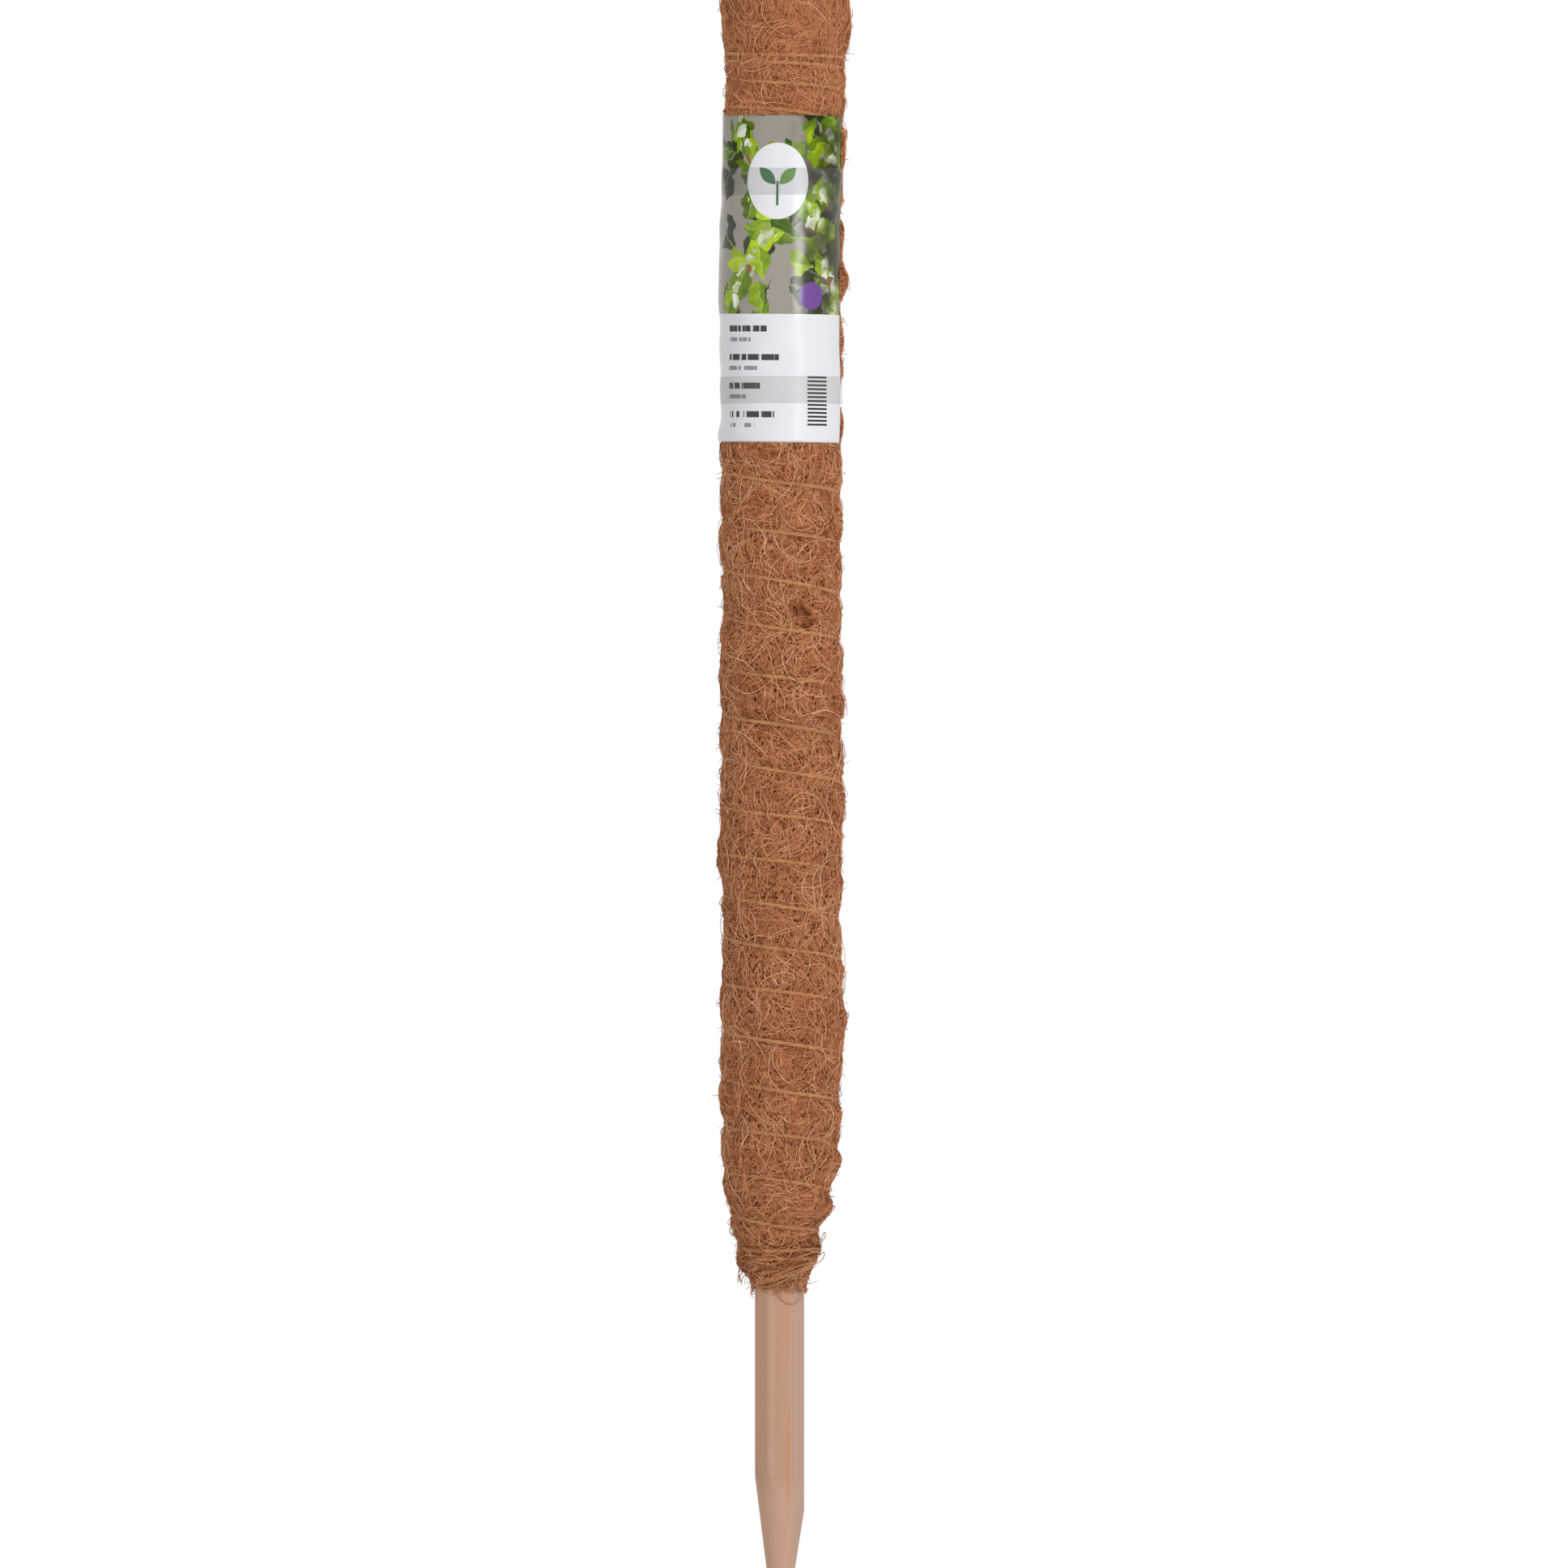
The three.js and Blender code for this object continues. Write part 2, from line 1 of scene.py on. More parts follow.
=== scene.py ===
"""Looks of a moss pole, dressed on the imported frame: stake, coir, twine, label and tape.

Metres, +Z up, front towards -Y. Angles round the pole are counted from +X, so the front lies at
minus a quarter turn. Colours are written as screen values from 0 to 255.
"""

import logging
import math
from collections.abc import Sequence
from dataclasses import asdict, dataclass
from enum import Enum
from functools import partialmethod
from typing import ClassVar

import bpy
import numpy as np
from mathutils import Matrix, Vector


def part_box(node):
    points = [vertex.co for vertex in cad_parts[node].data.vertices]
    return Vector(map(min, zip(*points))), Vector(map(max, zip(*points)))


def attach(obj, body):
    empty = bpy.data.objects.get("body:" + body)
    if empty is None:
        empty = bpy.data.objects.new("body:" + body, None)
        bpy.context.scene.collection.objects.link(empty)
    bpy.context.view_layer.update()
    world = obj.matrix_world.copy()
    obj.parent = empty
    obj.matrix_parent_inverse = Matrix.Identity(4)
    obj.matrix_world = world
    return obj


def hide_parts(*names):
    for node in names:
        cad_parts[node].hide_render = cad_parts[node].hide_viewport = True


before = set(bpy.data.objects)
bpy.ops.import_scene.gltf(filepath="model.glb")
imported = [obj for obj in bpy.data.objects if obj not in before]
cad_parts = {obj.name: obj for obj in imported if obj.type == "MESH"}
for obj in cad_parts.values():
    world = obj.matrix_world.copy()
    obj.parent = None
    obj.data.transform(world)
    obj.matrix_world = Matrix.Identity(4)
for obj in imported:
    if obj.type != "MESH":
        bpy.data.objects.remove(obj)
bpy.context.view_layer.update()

LOG = logging.getLogger("moss_pole")
BODY = "root"
MM = 0.001
TURN = 2 * math.pi
FRONT = -math.pi / 2
Array = np.ndarray
Colour = tuple[float, float, float, float]
Screen = tuple[int, int, int]
Pair = tuple[float, float]
Triple = tuple[float, float, float]
Patch = tuple[Pair, Pair]
Swells = tuple[Triple, ...]
Places = Sequence[Triple]
Stops = tuple[tuple[float, Screen], ...]
Stains = tuple[tuple[Triple, float, float], ...]
Mesh = bpy.types.Mesh
Material = bpy.types.Material
WHITE: Colour = (1.0, 1.0, 1.0, 1.0)


class Rays(Enum):
    """What a lamp lights: the bodies of things, or only what they mirror."""

    BODY = "body"
    SHEEN = "sheen"


class Slot(Enum):
    """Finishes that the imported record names."""

    WOOD = "planed_softwood"
    COIR = "coir_fibre"
    TWINE = "jute_twine"
    PAPER = "label_paper"
    FILM = "clear_tape"


def linear(screen: Screen) -> Colour:
    """Turn a screen colour into the linear colour that shaders take.

    Args:
        screen: Red, green and blue from 0 to 255.

    Returns:
        Linear red, green and blue with full cover.
    """
    shares = [part / 255 for part in screen]
    parts = [s / 12.92 if s <= 0.04045 else ((s + 0.055) / 1.055) ** 2.4 for s in shares]
    return (parts[0], parts[1], parts[2], 1.0)


def smoothstep(value: Array, low: float, high: float) -> Array:
    """Ease from 0 at a low value to 1 at a high one."""
    share = np.clip((value - low) / (high - low), 0.0, 1.0)
    return share * share * (3.0 - 2.0 * share)


def stretch(value: Array, low: float, high: float, ease: float) -> Array:
    """Mark a stretch with 1 and ease to 0 over a length on both sides of it."""
    return smoothstep(value, low - ease, low) * (1.0 - smoothstep(value, high, high + ease))


def polar(radius: Array, angle: Array, height: Array) -> Array:
    """Turn distances from the axis, angles and heights into points, on a last axis of three."""
    radius, angle, height = np.broadcast_arrays(radius, angle, height)
    return np.stack([radius * np.cos(angle), radius * np.sin(angle), height], axis=-1)


def side_swell(angle: Array, height: Array, side: float, swells: Swells) -> Array:
    """Rises and dips of a surface at one side of the pole, as its outline shows them.

    Args:
        angle: Angles round the pole.
        height: Heights above the tip.
        side: 1 for the right side and -1 for the left.
        swells: Height, reach and rise of each, in millimetres.

    Returns:
        The change of radius at each place.
    """
    share = np.clip(side * np.cos(angle), 0.0, 1.0) ** 2
    level = height / MM
    bumps = (rise * MM * np.exp(-(((level - at) / reach) ** 2)) for at, reach, rise in swells)
    return share * sum(bumps)


def grid_faces(rows: int, columns: int, round_columns: bool, round_rows: bool = False) -> Array:
    """Four-sided faces of a grid of points.

    Args:
        rows: Number of rows of points.
        columns: Number of points in a row.
        round_columns: Whether the last point of a row joins the first.
        round_rows: Whether the last row joins the first.

    Returns:
        Point numbers, four for each face.
    """
    row = np.arange(rows if round_rows else rows - 1)[:, None]
    column = np.arange(columns if round_columns else columns - 1)[None, :]
    next_row = (row + 1) % rows
    next_column = (column + 1) % columns
    corners = [(row, column), (row, next_column), (next_row, next_column), (next_row, column)]
    return np.stack([r * columns + c for r, c in corners], axis=-1).reshape(-1, 4)


def new_mesh(name: str, points: Array, faces: list[list[int]]) -> Mesh:
    """Make a smooth-shaded mesh.

    Args:
        name: Name of the mesh.
        points: Points in any grid shape.
        faces: Point numbers of each face.

    Returns:
        The mesh.
    """
    mesh = bpy.data.meshes.new(name)
    mesh.from_pydata(points.reshape(-1, 3).tolist(), [], faces)
    mesh.shade_smooth()
    mesh.update()
    return mesh


def line_mesh(name: str, lines: Sequence[Array]) -> Mesh:
    """Make a mesh of points that are joined into lines.

    Args:
        name: Name of the mesh.
        lines: Points of each line.

    Returns:
        A mesh of points and edges.
    """
    points: list[list[float]] = []
    edges: list[tuple[int, int]] = []
    for line in lines:
        edges += [(len(points) + step, len(points) + step + 1) for step in range(len(line) - 1)]
        points += line.tolist()
    mesh = bpy.data.meshes.new(name)
    mesh.from_pydata(points, edges, [])
    return mesh


def add_floats(mesh: Mesh, name: str, values: Array) -> None:
    """Store one number on each point of a mesh, for materials and node trees to read."""
    layer = mesh.attributes.new(name, "FLOAT", "POINT")
    layer.data.foreach_set("value", np.ascontiguousarray(values, dtype=np.float32).ravel())


def add_uv(mesh: Mesh, name: str, places: Array) -> None:
    """Give a mesh a UV map from one place for each point.

    Args:
        mesh: Mesh that takes the map.
        name: Name of the map.
        places: Two numbers for each point.
    """
    corners = np.zeros(len(mesh.loops), dtype=np.int32)
    mesh.loops.foreach_get("vertex_index", corners)
    layer = mesh.uv_layers.new(name=name)
    layer.data.foreach_set("uv", np.ascontiguousarray(places[corners], dtype=np.float32).ravel())


def point_places(mesh: Mesh) -> tuple[Array, Array]:
    """Heights above the tip and angles round the pole of a mesh's points, before it sways."""
    points = np.array([vertex.co for vertex in mesh.vertices])
    return points[:, 2], np.arctan2(points[:, 1], points[:, 0])


def add_piece(name: str, mesh: Mesh, slot: Slot, *nodes: str) -> bpy.types.Object:
    """Put a finished mesh in the scene as a piece of the pole.

    Args:
        name: Name of the piece.
        mesh: Its mesh, in place.
        slot: Finish of the record; not used.
        nodes: CAD nodes that it stands for.

    Returns:
        The piece's object.
    """
    piece = bpy.data.objects.new(name, mesh)
    bpy.context.scene.collection.objects.link(piece)
    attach(piece, BODY)
    if nodes:
        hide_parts(*nodes)
    triangles = sum(len(face.vertices) - 2 for face in mesh.polygons)
    LOG.info("piece %s: %d triangles", name, triangles)
    return piece


class Wire:
    """The output of a node, which sums take like a number."""

    def __init__(self, graph: "Graph", socket: bpy.types.NodeSocket) -> None:
        """Keep the socket and the graph that it belongs to."""
        self.graph = graph
        self.socket = socket

    def before(self, operation: str, other: "Value") -> "Wire":
        """Work out a sum in which this value comes first."""
        return self.graph.math(operation, self, other)

    def after(self, operation: str, other: "Value") -> "Wire":
        """Work out a sum in which this value comes second."""
        return self.graph.math(operation, other, self)

    __add__ = partialmethod(before, "ADD")
    __radd__ = partialmethod(after, "ADD")
    __sub__ = partialmethod(before, "SUBTRACT")
    __rsub__ = partialmethod(after, "SUBTRACT")
    __mul__ = partialmethod(before, "MULTIPLY")
    __rmul__ = partialmethod(after, "MULTIPLY")
    __truediv__ = partialmethod(before, "DIVIDE")
    __pow__ = partialmethod(before, "POWER")


Value = Wire | float
Tint = Wire | Screen


class Graph:
    """Adds nodes to a tree and joins their sockets."""

    def __init__(self, tree: bpy.types.NodeTree) -> None:
        """Work on one tree."""
        self.tree = tree

    @staticmethod
    def socket(sockets: bpy.types.bpy_prop_collection, key: str | int) -> bpy.types.NodeSocket:
        """Find a socket among those that the node's settings leave in use.

        Args:
            sockets: A node's inputs or outputs.
            key: Name of the socket, or its number.

        Returns:
            The socket.
        """
        live = [socket for socket in sockets if socket.enabled]
        if isinstance(key, int):
            return live[key]
        return next(socket for socket in live if socket.name == key)

    def add(self, kind: str, inputs: dict | None = None, **settings: object) -> bpy.types.Node:
        """Add a node.

        Args:
            kind: Blender's name for the kind of node.
            inputs: Wires or plain values by socket name or number.
            settings: Values of the node's own settings.

        Returns:
            The node.
        """
        node = self.tree.nodes.new(kind)
        for name, value in settings.items():
            setattr(node, name, value)
        for key, value in (inputs or {}).items():
            socket = self.socket(node.inputs, key)
            if isinstance(value, Wire):
                self.tree.links.new(value.socket, socket)
            else:
                socket.default_value = value
        return node

    def out(self, node: bpy.types.Node, key: str | int = 0) -> Wire:
        """Take a node's output by name or number."""
        return Wire(self, self.socket(node.outputs, key))

    def use(self, kind: str, inputs: dict | None = None, **settings: object) -> Wire:
        """Add a node and take its first output."""
        return self.out(self.add(kind, inputs, **settings))

    def math(self, operation: str, *values: Value) -> Wire:
        """Work out a number from one, two or three others."""
        return self.use("ShaderNodeMath", dict(enumerate(values)), operation=operation)

    def vector_math(self, operation: str, *values: object) -> Wire:
        """Work out a vector, or a number such as its length, from others."""
        return self.use("ShaderNodeVectorMath", dict(enumerate(values)), operation=operation)

    def scaled(self, vector: Wire, factor: Value) -> Wire:
        """Multiply a vector by a number."""
        return self.use("ShaderNodeVectorMath", {0: vector, "Scale": factor}, operation="SCALE")

    def point(self, x: Value, y: Value, z: Value) -> Wire:
        """Join three numbers into a vector."""
        return self.use("ShaderNodeCombineXYZ", {0: x, 1: y, 2: z})

    def parts(self, vector: Wire) -> tuple[Wire, Wire, Wire]:
        """Split a vector into its three numbers."""
        node = self.add("ShaderNodeSeparateXYZ", {0: vector})
        return self.out(node, 0), self.out(node, 1), self.out(node, 2)

    def blend(self, share: Value, low: Value, high: Value) -> Wire:
        """Go from one number to another by a share."""
        return self.math("MULTIPLY_ADD", share, self.math("SUBTRACT", high, low), low)

    def ease(self, value: Value, low: Value, high: Value) -> Wire:
        """Ease from 0 at a low value to 1 at a high one."""
        inputs = {"Value": value, "From Min": low, "From Max": high}
        return self.use("ShaderNodeMapRange", inputs, interpolation_type="SMOOTHSTEP")


@dataclass(frozen=True)
class RecipeSizes:
    """Sizes in fields that have the names of a recipe's inputs."""


class Recipe(Graph):
    """A Geometry Nodes tree with named inputs, run on a mesh to make another plain mesh."""

    def __init__(self, name: str) -> None:
        """Start a tree that takes and gives a geometry.

        Args:
            name: Name of the tree.
        """
        super().__init__(bpy.data.node_groups.new(name, "GeometryNodeTree"))
        self.sockets: dict[str, str] = {}
        for side in ("INPUT", "OUTPUT"):
            self.tree.interface.new_socket("Geometry", in_out=side, socket_type="NodeSocketGeometry")
        self.entry = self.tree.nodes.new("NodeGroupInput")
        self.source = Wire(self, self.entry.outputs["Geometry"])

    def size(self, name: str, kind: str = "NodeSocketFloat") -> Wire:
        """Declare a named input of the tree.

        Args:
            name: Name of the input.
            kind: Blender's name for the kind of socket.

        Returns:
            The input as a wire.
        """
        item = self.tree.interface.new_socket(name, in_out="INPUT", socket_type=kind)
        self.sockets[name.lower().replace(" ", "_")] = item.identifier
        return Wire(self, self.entry.outputs[name])

    def named(self, name: str, kind: str = "FLOAT") -> Wire:
        """Read an attribute by name."""
        return self.use("GeometryNodeInputNamedAttribute", {"Name": name}, data_type=kind)

    def store(
        self, geometry: Wire, name: str, value: Value, kind: str = "FLOAT", domain: str = "POINT"
    ) -> Wire:
        """Write an attribute under a name."""
        inputs = {"Geometry": geometry, "Name": name, "Value": value}
        return self.use("GeometryNodeStoreNamedAttribute", inputs, data_type=kind, domain=domain)

    def inset(self, share: Wire, edge: float = 0.1) -> Wire:
        """Keep a share of a square in the colour map off the square's edges."""
        return edge + (1.0 - 2.0 * edge) * share

    def tubes(self, curves: Wire, radius: Value, sides: int) -> Wire:
        """Give curves a round body with closed ends, and mark each point's place round it.

        Args:
            curves: Curves that run along the middles.
            radius: Radius at each point of the curves.
            sides: Number of sides of a section.

        Returns:
            The tubes as one mesh, with an attribute named around.
        """
        ring = self.use("GeometryNodeCurvePrimitiveCircle", {"Resolution": sides, "Radius": 1.0})
        ring = self.store(ring, "around", self.use("GeometryNodeInputIndex") / sides)
        inputs = {"Curve": curves, "Profile Curve": ring, "Scale": radius, "Fill Caps": True}
        return self.use("GeometryNodeCurveToMesh", inputs)

    def close(self, mesh: Wire) -> None:
        """End the tree with plain, smooth faces of one material.

        Args:
            mesh: What the tree has made.
        """
        smooth = self.use("GeometryNodeSetShadeSmooth", {"Geometry": mesh})
        plain = self.use("GeometryNodeRealizeInstances", {"Geometry": smooth})
        inputs = {"Geometry": plain, "Material": self.size("Material", "NodeSocketMaterial")}
        dressed = self.use("GeometryNodeSetMaterial", inputs)
        leave = self.tree.nodes.new("NodeGroupOutput")
        self.tree.links.new(dressed.socket, leave.inputs["Geometry"])

    def run(self, name: str, source: Mesh, sizes: RecipeSizes, **others: object) -> Mesh:
        """Run the tree once.

        Args:
            name: Name of the mesh to make.
            source: Mesh that the tree works on.
            sizes: Values of inputs.
            others: Values of the other inputs, or in place of a field's.

        Returns:
            The result as a plain mesh.
        """
        values = {**asdict(sizes), **others}
        carrier = bpy.data.objects.new(name, source)
        bpy.context.scene.collection.objects.link(carrier)
        modifier = carrier.modifiers.new(name, "NODES")
        modifier.node_group = self.tree
        for key, identifier in self.sockets.items():
            modifier[identifier] = values[key]
        evaluated = carrier.evaluated_get(bpy.context.evaluated_depsgraph_get())
        mesh = bpy.data.meshes.new_from_object(evaluated)
        mesh.name = name
        carrier.modifiers.remove(modifier)
        bpy.data.objects.remove(carrier)
        return mesh


class ScatterRecipe(Recipe):
    """Thin tubes that start at seeded points of a surface, each with a tone of its own."""

    NAME = ""
    SIDES = 3

    def __init__(self) -> None:
        """Build the tree."""
        super().__init__(self.NAME)
        self.seed = self.size("Seed", "NodeSocketInt")
        steps = self.size("Points", "NodeSocketInt")
        density = self.size("Density") * self.named("weight")
        inputs = {"Mesh": self.source, "Density": density, "Seed": self.seed}
        spread = self.add("GeometryNodeDistributePointsOnFaces", inputs, distribute_method="RANDOM")
        index = self.use("GeometryNodeInputIndex")
        points = self.store(self.roots(spread), "strand", index, "INT")
        inputs = {"Geometry": points, "Amount": steps}
        copies = self.add("GeometryNodeDuplicateElements", inputs, domain="POINT")
        self.strand = self.named("strand", "INT")
        along = self.out(copies, "Duplicate Index") / (steps - 1.0)
        points = self.store(self.out(copies), "along", along)
        tone = self.blend(self.draw(0.0, 1.0, 1), self.size("Darkest"), self.size("Palest"))
        points = self.store(points, "tone", tone)
        points = self.use("GeometryNodeSetPosition", {"Geometry": points, **self.shape()})
        inputs = {"Points": points, "Curve Group ID": self.strand, "Weight": self.named("along")}
        curves = self.use("GeometryNodePointsToCurves", inputs)
        self.close(self.tiled(self.tubes(curves, self.thickness(), self.SIDES)))

    def roots(self, spread: bpy.types.Node) -> Wire:
        """Points that the tubes start at."""
        return self.out(spread)

    def shape(self) -> dict[str, Wire]:
        """Where each point goes, under the name of the input that takes it."""
        raise NotImplementedError

    def thickness(self) -> Wire:
        """Radius along each tube."""
        raise NotImplementedError

    def draw(self, low: float, high: float, number: int) -> Wire:
        """Draw from a range for each strand, under the draw's own number."""
        inputs = {"Min": low, "Max": high, "ID": self.strand, "Seed": self.seed + number}
        return self.use("FunctionNodeRandomValue", inputs, data_type="FLOAT")

    def tiled(self, mesh: Wire) -> Wire:
        """Give each strand a small square of its own in the map that colours are baked in.

        Args:
            mesh: The tubes.

        Returns:
            The tubes with the map.
        """
        tiles, strand = self.size("Tiles"), self.named("strand")
        row = self.math("FLOOR", strand / tiles)
        column = strand - row * tiles
        across, up = self.inset(self.named("along")), self.inset(self.named("around"))
        place = self.point((column + across) / tiles, (row + up) / tiles, 0.0)
        return self.store(mesh, "OFBake", place, "FLOAT2", "CORNER")


class StrandRecipe(ScatterRecipe):
    """Fibres that lie on a round body, follow its bumps and cross each other."""

    NAME = "coir_strands"
    LAST_TILT = 1.1
    FOOT_TAIL = 5.0 * MM
    LEAST_RING = 12.0 * MM
    LEAST_CURL = 0.013
    RAY_LENGTH = 0.1
    LENGTHS = (0.45, 1.55)
    THICKNESSES = (0.65, 1.25)
    TAILS = (0.3, 1.0)
    END_THINNING = 0.6

    def from_middle(self) -> Wire:
        """Distance from the middle of a strand, which is 1 at its ends."""
        return self.math("ABSOLUTE", self.named("along") * 2.0 - 1.0)

    def thickness(self) -> Wire:
        """Radius along each strand: strands differ, and each thins out to its ends."""
        thinner = 1.0 - self.END_THINNING * self.from_middle() ** 4.0
        return self.size("Radius") * self.draw(*self.THICKNESSES, 2) * thinner

    def bowed(self) -> tuple[Wire, Wire]:
        """Lay each strand out flat, as a waving bow.

        Returns:
            How far each point lies along the strand's heading, and aside of it.
        """
        length = self.size("Length") * self.draw(*self.LENGTHS, 3)
        travel = (self.named("along") - 0.5) * length
        draw = self.draw(-1.0, 1.0, 4)
        bow = self.math("SIGN", draw) * self.math("SQRT", self.math("ABSOLUTE", draw))
        curl = self.size("Curl") * bow + self.LEAST_CURL
        ahead = self.math("SINE", curl * travel) / curl
        wave_turn = travel * self.size("Wave Count") + self.draw(0.0, TURN, 5)
        aside = (1.0 - self.math("COSINE", curl * travel)) / curl
        return ahead, aside + self.size("Wave") * self.math("SINE", wave_turn)

    def shape(self) -> dict[str, Wire]:
        """Place each point of each strand on the body, or a little above or under it.

        Returns:
            The positions.
        """
        shoulder, bend = self.size("Shoulder Height"), self.size("Dome Radius")
        x, y, z = self.parts(self.use("GeometryNodeInputPosition"))
        ring = self.math("SQRT", x * x + y * y)
        rise = self.math("MAXIMUM", z - shoulder, 0.0)
        climb = self.math("MINIMUM", z, shoulder) + self.math("ARCTAN2", rise, ring) * bend
        ahead, aside = self.bowed()
        swing = self.draw(-1.0, 1.0, 6) * self.named("spread") * self.size("Spread")
        heading = self.named("heading") + swing
        cosine, sine = self.math("COSINE", heading), self.math("SINE", heading)
        reach = self.math("MAXIMUM", ring, self.LEAST_RING)
        angle = self.math("ARCTAN2", y, x) + (ahead * cosine - aside * sine) / reach
        climb = climb + ahead * sine + aside * cosine
        under = self.math("MAXIMUM", self.size("Foot Height") - climb, 0.0)
        tail = self.FOOT_TAIL * self.draw(*self.TAILS, 8)
        climb = climb + under - tail * (1.0 - self.math("EXPONENT", under / tail * -1.0))
        climb = self.math("MINIMUM", climb, shoulder + bend * self.LAST_TILT)
        tilt = self.math("MAXIMUM", climb - shoulder, 0.0) / bend
        level = self.math("COSINE", tilt)
        x, y = level * self.math("COSINE", angle), level * self.math("SINE", angle)
        outward = self.point(x, y, self.math("SINE", tilt))
        middle = self.point(0.0, 0.0, self.math("MINIMUM", climb, shoulder))
        reach, ceiling = self.surface(middle, outward)
        reach = reach + self.lift(ceiling)
        return {"Position": self.vector_math("ADD", middle, self.scaled(outward, reach))}

    def surface(self, middle: Wire, outward: Wire) -> tuple[Wire, Wire]:
        """Find the body's surface, and the room that what presses on it leaves.

        Args:
            middle: Places on the axis.
            outward: Directions in which the surface is looked for.

        Returns:
            Distances to the surface, and how far strands may stand over it.
        """
        inputs = {
            "Target Geometry": self.source,
            "Attribute": self.named("ceiling"),
            "Source Position": middle,
            "Ray Direction": outward,
            "Ray Length": self.RAY_LENGTH,
        }
        ray = self.add("GeometryNodeRaycast", inputs, data_type="FLOAT")
        return self.out(ray, "Hit Distance"), self.out(ray, "Attribute")

    def lift(self, ceiling: Wire) -> Wire:
        """Raise each point over the surface: ends dive in and the middle arches up.

        Args:
            ceiling: The most that a point may rise.

        Returns:
            Heights over the surface.
        """
        sink = self.size("Sink")
        arch = self.size("Rise") * self.draw(0.0, 1.0, 7) ** 2.0 + sink
        lift = arch * (1.0 - self.from_middle() ** 3.0) - sink
        return self.math("MINIMUM", lift, ceiling)


class HairRecipe(ScatterRecipe):
    """Loose hairs that start in a surface and bend away from it."""

    NAME = "loose_hairs"
    LENGTHS = (0.4, 1.6)
    BENDS = (0.5, 1.5)
    END_THINNING = 0.7

    def roots(self, spread: bpy.types.Node) -> Wire:
        """Points that the hairs start at, which keep the way that the surface faces."""
        facing = self.out(spread, "Normal")
        return self.store(self.out(spread), "outward", facing, "FLOAT_VECTOR")

    def thickness(self) -> Wire:
        """Radius along each hair, which thins out to its end."""
        return self.size("Radius") * (1.0 - self.END_THINNING * self.named("along") ** 2.0)

    def direction(self, first: int) -> Wire:
        """Draw a direction for each hair, from three draws."""
        draws = [self.draw(-1.0, 1.0, first + axis) for axis in range(3)]
        return self.vector_math("NORMALIZE", self.point(*draws))

    def shape(self) -> dict[str, Wire]:
        """Lead each hair from its root along an arc that curls over.

        Returns:
            The offsets from the root.
        """
        bend = self.size("Bend") * self.draw(*self.BENDS, 9)
        turned = bend * self.named("along")
        length = self.size("Length") * self.draw(*self.LENGTHS, 2)
        outward = self.named("outward", "FLOAT_VECTOR")
        start = self.vector_math("ADD", self.scaled(outward, self.size("Stand")), self.direction(3))
        start = self.vector_math("NORMALIZE", start)
        ahead = self.scaled(start, self.math("SINE", turned) / bend)
        aside = (1.0 - self.math("COSINE", turned)) / bend
        path = self.vector_math("ADD", ahead, self.scaled(self.direction(6), aside))
        root = self.scaled(outward, self.size("Root") * -1.0)
        return {"Offset": self.vector_math("ADD", root, self.scaled(path, length))}


